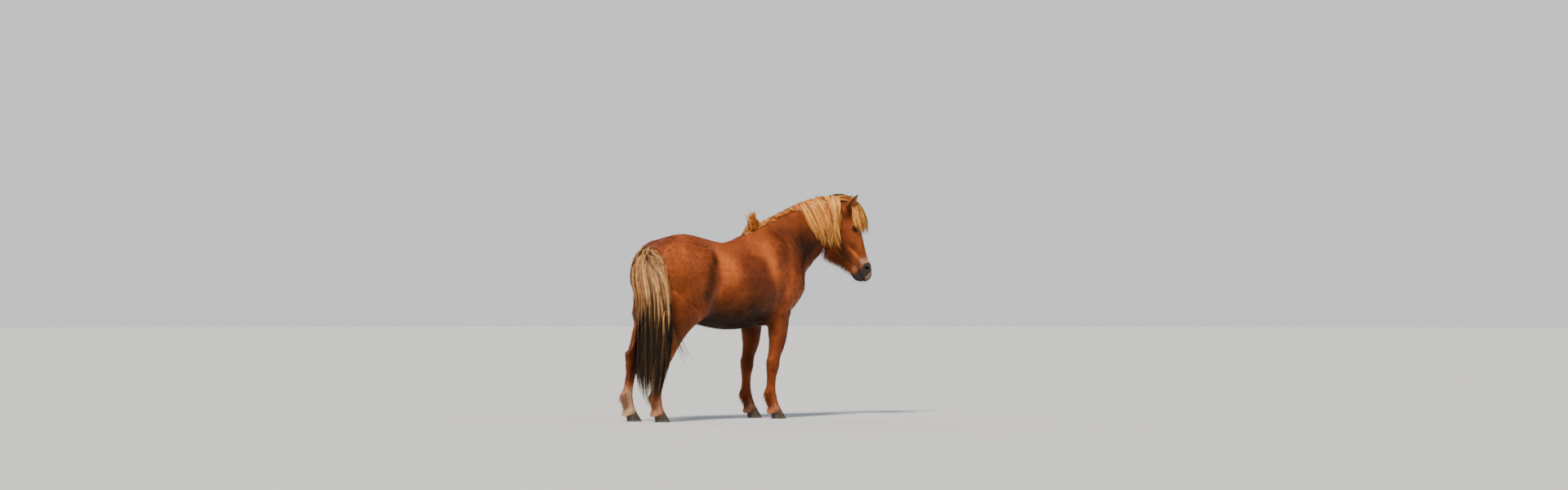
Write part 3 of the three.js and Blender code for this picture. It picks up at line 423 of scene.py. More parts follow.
def sculpt(mesh):
    """Moves the skin's points: bones, folds, muscles and joints, the full throat, and room for the coat."""
    points, normals = points_of(mesh), normals_of(mesh)
    head = head_places(points)
    mirrored = head.copy()
    mirrored[:, 2] = np.abs(head[:, 2])
    height = np.zeros(len(points))
    near_head = head[:, 0] > -0.02
    on_face = step(head[:, 1], -0.30, -0.24) * near_head
    for line, wide, rise in HEAD_STROKES:
        height += rise * stroke(mirrored, line, wide, HEAD_STROKE_END) * on_face
    drawing = points + SHIFT
    drawing[:, 1] = np.abs(drawing[:, 1])
    body = 1 - step(drawing[:, 0], 0.930, 0.990)
    for line, wide, rise in BODY_STROKES:
        height += rise * stroke(drawing, np.array(line) / 1000, wide, BODY_STROKE_END) * body
    for leg in LEG_BONES:
        for side in SIDES.values():
            height += leg_relief(points, leg, side)
    points += normals * height[:, None]
    from_throat, _ = along_line(drawing, np.array(THROAT) / 1000)
    points += THROAT_WAY * (THROAT_PUSH * hump(from_throat, THROAT_REACH) * body)[:, None]
    face = step(head[:, 0], 0.06, 0.16) * near_head
    low = 1 - step(points[:, 2], 0.25, 0.55)
    points -= normals * (COAT_DEPTH - COAT_THINNER * np.maximum(face, low))[:, None]
    put_points(mesh, points)


def eye_centre(side):
    return on_head(EYE[0], EYE[1], EYE[2] * side)


def eye_axes(side):
    out = head_way(0.06, 0.16, side)
    along = head_way(0.82, 0.57, 0)
    along = unit(along - out * (along @ out))
    upward = np.cross(out, along) * side
    return along, upward, out


EYE_HALF = 0.0235  # from the middle of the eye to its corner
LID_HIGH = 0.0135
LID_LOW = 0.0105
LID_THICK = 0.0044


def open_eyes(mesh):
    """Opens each eye: the skin sinks behind the eyeball inside the lids' edge, and the lids roll round it."""
    points = points_of(mesh)
    for side in SIDES.values():
        axes = np.stack(eye_axes(side))
        local = (points - eye_centre(side)) @ axes.T
        near = (np.linalg.norm(local, axis=1) < 0.05) & (local[:, 2] > -0.01)
        x, y, z = local[near].T
        reach = np.clip(1 - (x / EYE_HALF) ** 2, 0, None)
        edge_high = LID_HIGH * reach ** 0.62
        edge_low = -LID_LOW * reach ** 0.72
        opening = np.minimum(edge_high - y, y - edge_low)  # above 0 inside the lids
        inside = (np.abs(x) < EYE_HALF) & (opening > 0)
        flat = np.hypot(x, y)
        ball = np.sqrt(np.maximum(EYE_RADIUS ** 2 - flat ** 2, 0))
        # outside the opening the skin lies over the ball with a rounded lid edge
        away = np.where(inside, 0, np.hypot(np.maximum(np.abs(x) - EYE_HALF * 0.96, 0),
                                            np.maximum(np.maximum(y - edge_high, edge_low - y), 0)))
        over = np.sqrt(np.maximum((EYE_RADIUS + LID_THICK) ** 2 - flat ** 2, 0))
        wanted = np.where(flat < EYE_RADIUS + 0.004, over, z)
        z = z + (wanted - z) * hump(away, 0.011)
        z = np.where(inside, np.minimum(z, ball - 0.004 - 0.5 * np.minimum(opening, 0.004)), z)
        # folds above and below the lids
        fold = hump(y - edge_high - 0.0085 - 0.12 * np.abs(x), 0.0022) * (y > 0) * (np.abs(x) < 0.026)
        fold_low = hump(edge_low - y - 0.007, 0.002) * (y < 0) * (np.abs(x) < 0.022)
        z += 0.0006 * hump(away, 0.0055) - 0.0022 * fold - 0.0014 * fold_low
        points[near] = eye_centre(side) + np.stack((x, y, z), 1) @ axes
    put_points(mesh, points)


def open_nostrils(mesh):
    """Sinks each nostril as a bent opening with a raised rim."""
    points = points_of(mesh)
    head = head_places(points)
    for side in SIDES.values():
        centre = np.array((NOSTRIL[0], NOSTRIL[1], NOSTRIL[2] * side))
        into = unit(np.array((-0.5, -0.25, -side)))
        along = unit(np.array((0.72, 0.69, 0.0)))
        along = unit(along - into * (along @ into))
        across = np.cross(into, along)
        local = (head - centre) @ np.stack((along, across, into)).T
        near = np.linalg.norm(local, axis=1) < 0.05
        x, y = local[near, :2].T
        bend = y - 9.0 * x * x * side  # the opening is bent like a comma
        ring = np.hypot(x / 0.019, bend / 0.0095)
        sink = 0.022 * (1 - step(ring, 0.45, 1.0))
        rim = 0.0030 * hump(ring - 1.25, 0.28)
        head[near] += (sink - rim)[:, None] * into
    put_points(mesh, POLL + head @ HEAD_AXES)


def part_lips(mesh):
    """The line of the mouth, with full lips on both sides of it."""
    points, normals = points_of(mesh), normals_of(mesh)
    head = head_places(points)
    line = curve_through([(0.470, -0.068), (0.500, -0.065), (0.540, -0.059), (0.600, -0.048)], 20)
    away = np.abs(head[:, 1] - np.interp(head[:, 0], line[:, 0], line[:, 1]))
    height = 0.0022 * hump(away - 0.011, 0.007) - 0.0065 * hump(away, 0.0032)
    points += normals * (height * step(head[:, 0], 0.468, 0.490))[:, None]
    put_points(mesh, points)


# The lie of the coat: which way the hair lies at each place

def lie_of(points, normals):
    x, y, z = ((points + SHIFT) * 1000).T
    head = head_places(points)
    out = np.abs(y)
    trunk = np.stack((np.full(len(x), -1.0), 0 * x, -0.42 - 0.5 * step(out, 120, 280)), 1)
    # hair of the neck runs down and back, of the breast and the legs down
    neck = np.stack((np.full(len(x), -0.75), 0 * x, np.full(len(x), -0.75)), 1)
    down = np.stack((np.full(len(x), -0.18), 0 * x, np.full(len(x), -1.0)), 1)
    face = np.tile(DOWN_FACE, (len(x), 1)) + np.outer(step(head[:, 1], -0.25, 0.0) - 1, OUT_OF_FACE) * 0.9
    to_neck = step(x, 420, 640)
    lie = trunk * (1 - to_neck[:, None]) + neck * to_neck[:, None]
    to_down = np.maximum(1 - step(z, 640, 860), step(x, 560, 660) * (1 - step(z, 1060, 1200)))
    to_down = np.maximum(to_down, (1 - step(x, -700, -560)) * (1 - step(z, 1000, 1180)))
    lie = lie * (1 - to_down[:, None]) + down * to_down[:, None]
    on_face = step(head[:, 0], 0.02, 0.12) * step(x, 1000, 1080)
    lie = lie * (1 - on_face[:, None]) + face * on_face[:, None]
    ears = (head[:, 0] < 0.055) & (head[:, 1] > -0.02) & (x > 1080)
    lie[ears] = head_way(-0.4, 0.9)
    flank = spot(x, z, -300, 930, 120, 120) * step(out, 150, 230)
    lie = lie + flank[:, None] * np.array((-0.3, 0, 1.6))
    lie -= normals * np.sum(lie * normals, 1)[:, None]
    return unit(lie)


# Marks of the coat, and painted light and shade, the same for skin and coat

# Painted shade (below 0) and painted highlights on the chestnut, where light and shade fall on the trunk:
# forward and height, how far it reaches each way, all in millimetres, and how much
PAINTED_LIGHT_AND_SHADE = [
    (-370, 1060, 110, 190, -0.35), (-450, 860, 140, 120, -0.40), (-600, 680, 120, 160, -0.55),
    (-600, 1240, 120, 120, 0.20), (-120, 1150, 90, 150, 0.70), (90, 980, 120, 150, -0.42),
    (320, 1110, 60, 150, 0.90), (480, 1230, 80, 130, -0.25), (760, 1330, 170, 170, -0.92),
    (560, 1460, 130, 40, 0.30), (620, 960, 80, 110, -0.20), (440, 760, 90, 80, -0.25),
    (-560, 1000, 90, 120, -0.25),
]
PAINTED_SHADE_AND_HIGHLIGHT_LINES = [  # painted shade and painted highlights along lines: forward and height of their points in mm, half-width in mm, how much
    ([(-262, 1200), (-296, 1130), (-310, 1020), (-345, 920)], 52, -0.55),
    ([(470, 1200), (360, 1120), (300, 1020), (285, 900)], 40, -0.22),
    ([(560, 1290), (540, 1160), (520, 1040), (470, 930)], 30, 0.28),
    ([(900, 1340), (780, 1230), (680, 1130)], 45, -0.35),
]
PAINTED_FACE_SHADE_AND_LIGHT = [  # painted shade (below 0) and painted light on the face: u and v, how far it reaches each way, all in metres, and how much
    (0.26, -0.125, 0.14, 0.075, -0.66), (0.08, 0.0, 0.070, 0.060, -0.70),
    (0.35, -0.150, 0.100, 0.045, -0.55), (0.43, -0.105, 0.060, 0.040, -0.45),
    (0.318, -0.050, 0.028, 0.020, -0.45), (0.35, 0.0, 0.060, 0.030, 0.20),
]
# a painted highlight along the facial crest: u and v of its points
PAINTED_CHEEK_HIGHLIGHT = [(0.290, -0.100), (0.350, -0.070), (0.430, -0.028)]


def marks_and_painted_light(points):
    """How much of each mark, painted shade and painted highlights among them, there is at the points, from 0
    to 1.
    """
    x, y, z = ((points + SHIFT) * 1000).T
    places = head_places(points)
    u, v, w = places.T
    head = (u > -0.03) & (x > 1000)
    wander = 0.010 * bumps(points, 0.07, 5) + 0.004 * bumps(points, 0.02, 6)
    muzzle = step(u + wander - 0.2 * np.maximum(0, -0.05 - v) - 0.5 * np.maximum(0, v - 0.02), 0.482, 0.514)
    muzzle = np.maximum(muzzle, 0.55 * spot(u, v, 0.468, -0.055, 0.024, 0.022))
    muzzle = np.maximum(muzzle, 1 - step(away_from(places, NOSTRIL) + wander, 0.026, 0.040)) * head
    lip = 0.72 * hump(u + 0.5 * v + 0.4 * wander - 0.570, 0.012) * step(v, -0.046, -0.026) * head
    nose = hump(u + wander - 0.456, 0.024) * step(v, -0.050, -0.015) * step(np.abs(w), 0.015, 0.035)
    nose = (nose + 0.4 * spot(u, v, 0.484, -0.090, 0.020, 0.020)) * head
    # painted shade along the line of the mouth, where the lips part
    mouth = hump(v + 0.057, 0.010) * band(u, 0.482, 0.505, 0.578, 0.594) * head
    eye_rim = (1 - step(away_from(places, EYE, 0.012), 0.022, 0.042)) * head
    ear_height = (points - on_head(0.05, -0.01)) @ head_way(-0.52, 0.84)
    ear_tip = step(ear_height, 0.112, 0.150) * ((u < 0.06) & (v > 0.01) & (x > 1080))
    # painted shade under the belly
    painted_belly_shade = 1 - step(z + 22 * bumps(points, 0.09, 8), 745, 975)
    painted_belly_shade *= step(z, 600, 660) * band(x, -370, -240, 310, 420)
    # painted shade on the inner sides of the legs
    painted_inner_leg_shade = (1 - step(np.abs(y), 90, 135)) * (1 - step(z, 700, 850))
    uneven = bumps(points, 0.05, 9)
    feet = 1 - step(z + 14 * uneven, 80, 170)
    sock = (1 - step(z + 22 * uneven, 190, 300)) * (x < 0) * (0.35 + 0.65 * (y > 0))
    # tone adds up painted shade (below 0) and painted highlights, with a little random tone
    tone = np.zeros(len(points))
    # painted shade and painted highlights on the trunk
    for forward, up, wide, high, amount in PAINTED_LIGHT_AND_SHADE:
        tone += amount * spot(x, z, forward, up, wide, high)
    flat = np.stack((x, z), 1)
    # painted shade and painted highlights along lines on the sides
    for line, wide, amount in PAINTED_SHADE_AND_HIGHLIGHT_LINES:
        tone += amount * hump(along_line(flat, line)[0], wide) * step(np.abs(y), 30, 90)
    tone *= ~head
    tone += 0.10 * bumps(points, 0.25, 15) + 0.05 * bumps(points, 0.08, 16)
    # painted shade on the face, darkest on the cheek, temple and jaw
    for down, out, long, deep, amount in PAINTED_FACE_SHADE_AND_LIGHT:
        tone += amount * spot(u, v, down, out, long, deep) * head
    # a painted highlight along the facial crest
    tone += 0.90 * stroke(np.stack((u, v + 0.4 * wander), 1), PAINTED_CHEEK_HIGHLIGHT, 0.015, 0.1) * head
    # a painted highlight down the ridge of the nose
    tone += 0.45 * hump(np.abs(w) - 0.01, 0.03) * step(v, 0.0, 0.04) * step(u, 0.20, 0.30) * head
    tone -= 0.30 * band(z, 300, 400, 400, 520) * (x > 0)
    # painted shade on the left hind leg, the side the light does not reach
    tone -= 0.70 * band(z, 230, 330, 520, 680) * (x < -500) * (y > 0)
    # dark carries painted shade of the belly, the inner legs and the tone below 0; the tone above 0 is
    # painted highlight with brighter tone; black carries ear tips, eye rims and painted shade in the mouth's
    # line
    marks = {"muzzle": muzzle, "lip": lip, "pale": 0.65 * nose + 0.20 * feet + 0.72 * sock,
             "dark": painted_belly_shade + 0.5 * painted_inner_leg_shade + np.maximum(0, -tone), "glow": tone,
             "black": ear_tip + 0.85 * eye_rim + 0.9 * mouth}
    return {name: np.clip(values, 0, 1) for name, values in marks.items()}


# Materials

# dark and the bright mark carry painted shade and painted highlights
MARKS = ("muzzle", "lip", "pale", "dark", "glow", "black")


def group(name, inputs, outputs):
    """A node group with its inputs (name, kind, value) and outputs (name, kind)."""
    tree = bpy.data.node_groups.new(name, "ShaderNodeTree")
    for label, kind, value in inputs:
        tree.interface.new_socket(label, in_out="INPUT", socket_type=kind).default_value = value
    for label, kind in outputs:
        tree.interface.new_socket(label, in_out="OUTPUT", socket_type=kind)
    return tree, tree.nodes.new("NodeGroupInput"), tree.nodes.new("NodeGroupOutput")


def feed(tree, socket, value):
    """Sets an input to a value, or links it to a socket."""
    if isinstance(value, bpy.types.NodeSocket):
        tree.links.new(value, socket)
    else:
        socket.default_value = value


def node(tree, kind, settings=None, **inputs):
    """A node with its settings, and its inputs set to a value or linked to a socket."""
    made = tree.nodes.new(kind)
    for key, value in (settings or {}).items():
        setattr(made, key, value)
    for key, value in inputs.items():
        feed(tree, made.inputs[key.replace("_", " ")], value)
    return made


def mix(tree, share, a, b, blend="MIX"):
    made = node(tree, "ShaderNodeMix", {"data_type": "RGBA", "blend_type": blend})
    for index, value in ((0, share), (6, a), (7, b)):
        feed(tree, made.inputs[index], value)
    return made.outputs[2]


def sums(tree, operation, a, b=0.0):
    made = node(tree, "ShaderNodeMath", {"operation": operation})
    feed(tree, made.inputs[0], a)
    feed(tree, made.inputs[1], b)
    return made.outputs[0]


def distance(tree, a, b):
    """How far a place is from the middle, from how far it is each way."""
    return sums(tree, "SQRT", sums(tree, "ADD", sums(tree, "POWER", a, 2.0), sums(tree, "POWER", b, 2.0)))


def object_place(tree):
    return tree.nodes.new("ShaderNodeTexCoord").outputs["Object"]


def noise(tree, where, scale, detail):
    return node(tree, "ShaderNodeTexNoise", Vector=where, Scale=scale, Detail=detail).outputs[0]


def stretched_noise(tree, where, turn, scale):
    turned = node(tree, "ShaderNodeMapping", Vector=where, Rotation=turn, Scale=scale).outputs[0]
    return noise(tree, turned, 1.0, 3.0)


def raise_surface(tree, shader, strength, depth, height):
    bump = node(tree, "ShaderNodeBump", Strength=strength, Distance=depth, Height=height)
    tree.links.new(bump.outputs[0], shader.inputs["Normal"])


def mapped(tree, value, low, high, to_low=0.0, to_high=1.0):
    return node(tree, "ShaderNodeMapRange", {"interpolation_type": "SMOOTHSTEP"}, Value=value, From_Min=low,
                From_Max=high, To_Min=to_low, To_Max=to_high).outputs[0]


def colour(*parts):
    """A colour as the eye reads it, red, green and blue from 0 to 255, for a shader."""
    return (*(c / 255 / 12.92 if c <= 10 else ((c / 255 + 0.055) / 1.055) ** 2.4 for c in parts), 1.0)


def fine_mottle():
    """Soft patches and fine flecks of the same colour, lighter and darker."""
    tree, given, out = group("fine_mottle", [("Colour", "NodeSocketColor", (0.5, 0.5, 0.5, 1)),
                                             ("Patch size", "NodeSocketFloat", 6.0),
                                             ("Amount", "NodeSocketFloat", 0.2)],
                             [("Colour", "NodeSocketColor")])
    base, amount, where = given.outputs["Colour"], given.outputs["Amount"], object_place(tree)
    patches = noise(tree, where, given.outputs["Patch size"], 3.0)
    flecks = noise(tree, where, 160.0, 2.0)
    shade = sums(tree, "ADD", sums(tree, "MULTIPLY", patches, 0.7), sums(tree, "MULTIPLY", flecks, 0.3))
    lighter = mix(tree, 1.0, base, (1.9, 1.75, 1.6, 1), "MULTIPLY")
    darker = mix(tree, 1.0, base, (0.42, 0.36, 0.32, 1), "MULTIPLY")
    up = sums(tree, "MULTIPLY", mapped(tree, shade, 0.5, 0.68), amount)
    down = sums(tree, "MULTIPLY", mapped(tree, shade, 0.5, 0.32), amount)
    tree.links.new(mix(tree, down, mix(tree, up, base, lighter), darker), out.inputs["Colour"])
    return tree


def value_of(tree, name):
    return node(tree, "ShaderNodeAttribute", {"attribute_name": name}).outputs["Fac"]


def new_material(name, rough, specular=0.5, **extra):
    material = bpy.data.materials.new(name)
    material.use_nodes = True
    tree = material.node_tree
    shader = tree.nodes["Principled BSDF"]
    shader.inputs["Roughness"].default_value = rough
    shader.inputs["Specular IOR Level"].default_value = specular
    for key, value in extra.items():
        shader.inputs[key.replace("_", " ")].default_value = value
    return material, tree, shader


def place_group(tree, made, **inputs):
    """Places a node group and feeds its inputs."""
    return node(tree, "ShaderNodeGroup", {"node_tree": made}, **inputs)


def coat_colour_and_painted_light(mottle):
    """Chestnut with its marks, painted shade and painted highlights, from the values written on skin and
    coat.
    """
    tree, given, out = group("coat_colour_and_painted_light", [(name, "NodeSocketFloat", 0.0) for name in MARKS],
                             [("Colour", "NodeSocketColor"), ("Rough", "NodeSocketFloat")])
    broad = mapped(tree, noise(tree, object_place(tree), 2.6, 2.0), 0.36, 0.64)
    chestnut = mix(tree, broad, colour(106, 48, 25), colour(148, 73, 37))
    coat = place_group(tree, mottle, Colour=chestnut, Patch_size=9.0, Amount=0.38).outputs["Colour"]
    grey = place_group(tree, mottle, Colour=colour(44, 41, 42), Patch_size=40.0, Amount=0.4).outputs["Colour"]
    # the brighter copper is painted highlight and the deep brown painted shade; black also paints shade in
    # the mouth's line
    for mark, tint in (("glow", colour(212, 110, 48)), ("dark", colour(34, 12, 5)),
                       ("pale", colour(186, 150, 120)), ("black", colour(38, 22, 16)), ("muzzle", grey),
                       ("lip", colour(170, 128, 112))):
        coat = mix(tree, given.outputs[mark], coat, tint)
    tree.links.new(coat, out.inputs["Colour"])
    tree.links.new(mapped(tree, given.outputs["muzzle"], 0.0, 1.0, 0.46, 0.50), out.inputs["Rough"])
    return tree


def marked_coat(tree, shader, colour_and_painted_light):
    """The coat's colours and painted light, fed with the marks: its roughness goes to the shader, and its
    colour comes back.
    """
    used = place_group(tree, colour_and_painted_light, **{name: value_of(tree, name) for name in MARKS})
    tree.links.new(used.outputs["Rough"], shader.inputs["Roughness"])
    return used.outputs["Colour"]


COPPER = (1.0, 0.62, 0.36, 1)
GOLD = (1.0, 0.80, 0.55, 1)


def skin_material(colour_and_painted_light):
    material, tree, shader = new_material("chestnut_skin", 0.5, 0.22, Specular_Tint=COPPER)
    tree.links.new(marked_coat(tree, shader, colour_and_painted_light), shader.inputs["Base Color"])
    where = object_place(tree)
    heights = [sums(tree, "MULTIPLY", stretched_noise(tree, where, turn, scale), value_of(tree, share))
               for share, turn, scale in (("lie_back", (0, 0.45, 0), (80, 620, 620)),
                                          ("lie_down", (0, 0, 0), (620, 620, 80)))]
    raise_surface(tree, shader, 0.4, 0.0007, sums(tree, "ADD", *heights))
    return material


def coat_material(colour_and_painted_light):
    material, tree, shader = new_material("chestnut_coat", 0.5, 0.22, Specular_Tint=COPPER)
    strand = mapped(tree, value_of(tree, "hair"), 0.0, 1.0)
    tone = mix(tree, strand, (0.82, 0.78, 0.74, 1), (1.22, 1.2, 1.14, 1))
    shade = mix(tree, 1.0, marked_coat(tree, shader, colour_and_painted_light), tone, "MULTIPLY")
    tree.links.new(shade, shader.inputs["Base Color"])
    return material


def long_hair_material(name, pale, gold, brown, black):
    """Long hair: each strand has its own tone, and dark parts come in whole strands."""
    material, tree, shader = new_material(name, 0.42, 0.3, Specular_Tint=GOLD)
    strand = value_of(tree, "hair")
    tone = mix(tree, mapped(tree, strand, 0.0, 0.42), brown, gold)
    tone = mix(tree, mapped(tree, strand, 0.38, 0.90), tone, pale)
    tone = mix(tree, mapped(tree, value_of(tree, "along"), 0.0, 0.14, 0.55, 0.0), tone, brown)  # at the roots
    patches = noise(tree, object_place(tree), 22.0, 2.0)
    tone = mix(tree, mapped(tree, patches, 0.52, 0.66, 0.0, 0.30), tone, brown)
    deep = mix(tree, mapped(tree, strand, 0.35, 1.0, 0.0, 0.45), black, brown)
    late = sums(tree, "MULTIPLY", sums(tree, "SUBTRACT", 0.5, strand), 0.8)
    mask = sums(tree, "ADD", value_of(tree, "dark"), late)
    tone = mix(tree, mapped(tree, mask, 0.25, 0.62), tone, deep)
    tree.links.new(tone, shader.inputs["Base Color"])
    return material


def horn_material(mottle):
    """Dark horn with growth rings, fine upright grain and a paler, worn lower edge."""
    material, tree, shader = new_material("hoof_horn", 0.5, 0.4)
    where = object_place(tree)
    rings = node(tree, "ShaderNodeTexWave", {"bands_direction": "Z"}, Vector=where, Scale=38.0,
                 Distortion=1.6, Detail=2.0).outputs[1]
    grain = stretched_noise(tree, where, (0, 0, 0), (190, 190, 12))
    horn = mix(tree, mapped(tree, grain, 0.4, 0.65), colour(48, 40, 34), colour(92, 78, 64))
    horn = place_group(tree, mottle, Colour=horn, Patch_size=30.0, Amount=0.4).outputs["Colour"]
    height = node(tree, "ShaderNodeSeparateXYZ", Vector=where).outputs[2]
    horn = mix(tree, mapped(tree, height, 0.0, 0.02, 0.55, 0.0), horn, colour(112, 98, 82))
    tree.links.new(horn, shader.inputs["Base Color"])
    relief = sums(tree, "ADD", sums(tree, "MULTIPLY", rings, 0.7), sums(tree, "MULTIPLY", grain, 0.5))
    raise_surface(tree, shader, 0.5, 0.0012, relief)
    return material


def eye_material():
    """A wet eye: across and upward run over the eye's front, and the pupil is a level oval."""
    material, tree, shader = new_material("wet_eye", 0.10, 0.20, Coat_Weight=0.15, Coat_Roughness=0.03)
    across, upward = value_of(tree, "across"), value_of(tree, "upward")
    pupil = distance(tree, sums(tree, "MULTIPLY", across, 0.62), sums(tree, "MULTIPLY", upward, 1.25))
    iris = distance(tree, across, upward)
    fibre = noise(tree, object_place(tree), 420.0, 3.0)
    brown = mix(tree, mapped(tree, fibre, 0.4, 0.6), colour(20, 10, 6), colour(40, 20, 10))
    tone = mix(tree, mapped(tree, pupil, 0.26, 0.34), colour(5, 5, 8), brown)
    tone = mix(tree, mapped(tree, iris, 0.70, 0.78), tone, colour(20, 12, 9))
    tone = mix(tree, mapped(tree, iris, 0.86, 0.95), tone, colour(28, 20, 17))
    tree.links.new(tone, shader.inputs["Base Color"])
    return material


MOTTLE = fine_mottle()
COAT_COLOUR_AND_PAINTED_LIGHT = coat_colour_and_painted_light(MOTTLE)
SKIN_LOOK = skin_material(COAT_COLOUR_AND_PAINTED_LIGHT)
COAT_LOOK = coat_material(COAT_COLOUR_AND_PAINTED_LIGHT)
MANE_LOOK = long_hair_material("flaxen_hair", colour(236, 168, 84), colour(200, 118, 48),
                               colour(118, 56, 22), colour(40, 24, 14))
TAIL_LOOK = long_hair_material("tail_hair", colour(204, 148, 92), colour(142, 92, 52),
                               colour(74, 46, 28), colour(13, 10, 8))
CREST_LOOK = long_hair_material("crest_hair", colour(226, 152, 84), colour(184, 100, 44),
                                colour(132, 62, 26), colour(60, 30, 14))
HORN_LOOK = horn_material(MOTTLE)
EYE_LOOK = eye_material()


# Skin


def make_skin():
    mesh = skin_surface()
    sculpt(mesh)
    part_lips(mesh)
    open_nostrils(mesh)
    open_eyes(mesh)
    points, normals = points_of(mesh), normals_of(mesh)
    for name, values in marks_and_painted_light(points).items():
        write_values(mesh, name, values)
    lie = lie_of(points, normals)
    down = np.clip(np.abs(lie[:, 2]) * 1.4 - 0.45, 0, 1)
    write_values(mesh, "lie_down", down)
    write_values(mesh, "lie_back", 1 - down)
    mesh.shade_smooth()
    piece = piece_of("skin", mesh, SKIN_LOOK, "coat", *FLESH)
    unwrap(piece)
    return piece


def unwrap(piece):
    """Lays the skin out flat, so that its colours can be baked."""
    piece.data.uv_layers.new(name="OFBake")
    bpy.context.view_layer.objects.active = piece
    for other in bpy.context.selected_objects:
        other.select_set(False)
    piece.select_set(True)
    bpy.ops.object.mode_set(mode="EDIT")
    bpy.ops.mesh.select_all(action="SELECT")
    bpy.ops.uv.smart_project(angle_limit=math.radians(66), island_margin=0.002)
    bpy.ops.object.mode_set(mode="OBJECT")
    piece.select_set(False)


SKIN = make_skin()


# Eyes

EYE_FRONT = 0.0165  # across and upward are 1 so far from the middle of the eye


def make_eye(side_name, side):
    """An eyeball with a bulging clear front."""
    made = bmesh.new()
    bmesh.ops.create_uvsphere(made, u_segments=48, v_segments=32, radius=EYE_RADIUS - 0.0002)
    mesh = bpy.data.meshes.new("eye_" + side_name + "_wet")
    made.to_mesh(mesh)
    made.free()
    local = points_of(mesh)
    flat = np.hypot(local[:, 0], local[:, 1])
    local[:, 2] += 0.0016 * (1 - step(flat, 0.006, 0.0145)) * (local[:, 2] > 0)
    write_values(mesh, "across", np.where(local[:, 2] < 0, 2.0, local[:, 0] / EYE_FRONT))
    write_values(mesh, "upward", local[:, 1] / EYE_FRONT)
    axes = np.stack(eye_axes(side))
    put_points(mesh, eye_centre(side) + local @ axes)
    if np.linalg.det(axes) < 0:
        mesh.flip_normals()
    mesh.shade_smooth()
    piece_of("eyeball_" + side_name, mesh, EYE_LOOK, "eye", "eye_" + side_name)


for side_name, side in SIDES.items():
    make_eye(side_name, side)


# Short coat: thin tufts that lie along the body

TREE = BVHTree.FromPolygons([tuple(v.co) for v in SKIN.data.vertices],
                            [tuple(p.vertices) for p in SKIN.data.polygons])


class Ground:
    """The skin as triangles, for rooting hair on it."""

    def __init__(self, piece):
        mesh = piece.data
        mesh.calc_loop_triangles()
        count = len(mesh.loop_triangles)
        corners = np.zeros(count * 3, np.int32)
        mesh.loop_triangles.foreach_get("vertices", corners)
        self.corners = corners.reshape(-1, 3)
        loops = np.zeros(count * 3, np.int32)
        mesh.loop_triangles.foreach_get("loops", loops)
        flat = np.zeros(len(mesh.loops) * 2, np.float32)
        mesh.uv_layers["OFBake"].data.foreach_get("uv", flat)
        self.flat = flat.reshape(-1, 2)[loops.reshape(-1, 3)]
        self.points, self.normals = points_of(mesh), normals_of(mesh)
        a, b, c = (self.points[self.corners[:, k]] for k in range(3))
        self.areas = 0.5 * np.linalg.norm(np.cross(b - a, c - a), axis=1)
        self.middles = (a + b + c) / 3
        self.values = {name: np.zeros(len(self.points), np.float32) for name in MARKS}
        for name, values in self.values.items():
            mesh.attributes[name].data.foreach_get("value", values)

    def scatter(self, share, count, dice):
        """Places on the skin, denser where share is higher: triangles and the weights of their corners."""
        weight = self.areas * share
        chosen = dice.choice(len(weight), size=count, p=weight / weight.sum())
        r1, r2 = np.sqrt(dice.random(count)), dice.random(count)
        return chosen, np.stack((1 - r1, r1 * (1 - r2), r1 * r2), 1)

    def read(self, chosen, weights):
        """Points, normals and places on the unwrapped skin."""
        blend = lambda table: np.einsum("nk,nkd->nd", weights, table[self.corners[chosen]])
        uv = np.einsum("nk,nkd->nd", weights, self.flat[chosen])
        return blend(self.points), unit(blend(self.normals)), uv

    def marks(self, chosen, weights):
        return {name: np.einsum("nk,nk->n", weights, values[self.corners[chosen]])
                for name, values in self.values.items()}


GROUND = Ground(SKIN)
PATCH = 0.0015  # half of a tuft's patch on the unwrapped skin


def write_patches(mesh, uv, shape):
    """Every corner of a tuft gets its place in the small patch round the tuft's root."""
    layer = mesh.uv_layers.new(name="OFBake")
    corner = np.zeros(len(mesh.loops), np.int32)
    mesh.loops.foreach_get("vertex_index", corner)
    per = len(shape)
    flat = uv[corner // per] + np.asarray(shape)[corner % per] * PATCH
    layer.data.foreach_set("uv", flat.astype(np.float32).ravel())


TUFT_FACES = np.array([(0, 1, 2), (0, 2, 3), (0, 3, 1), (4, 2, 1), (4, 3, 2), (4, 1, 3)])
TUFT_PATCH = [(-1, 0), (-0.3, -0.8), (-0.3, 0), (-0.3, 0.8), (1, 0)]


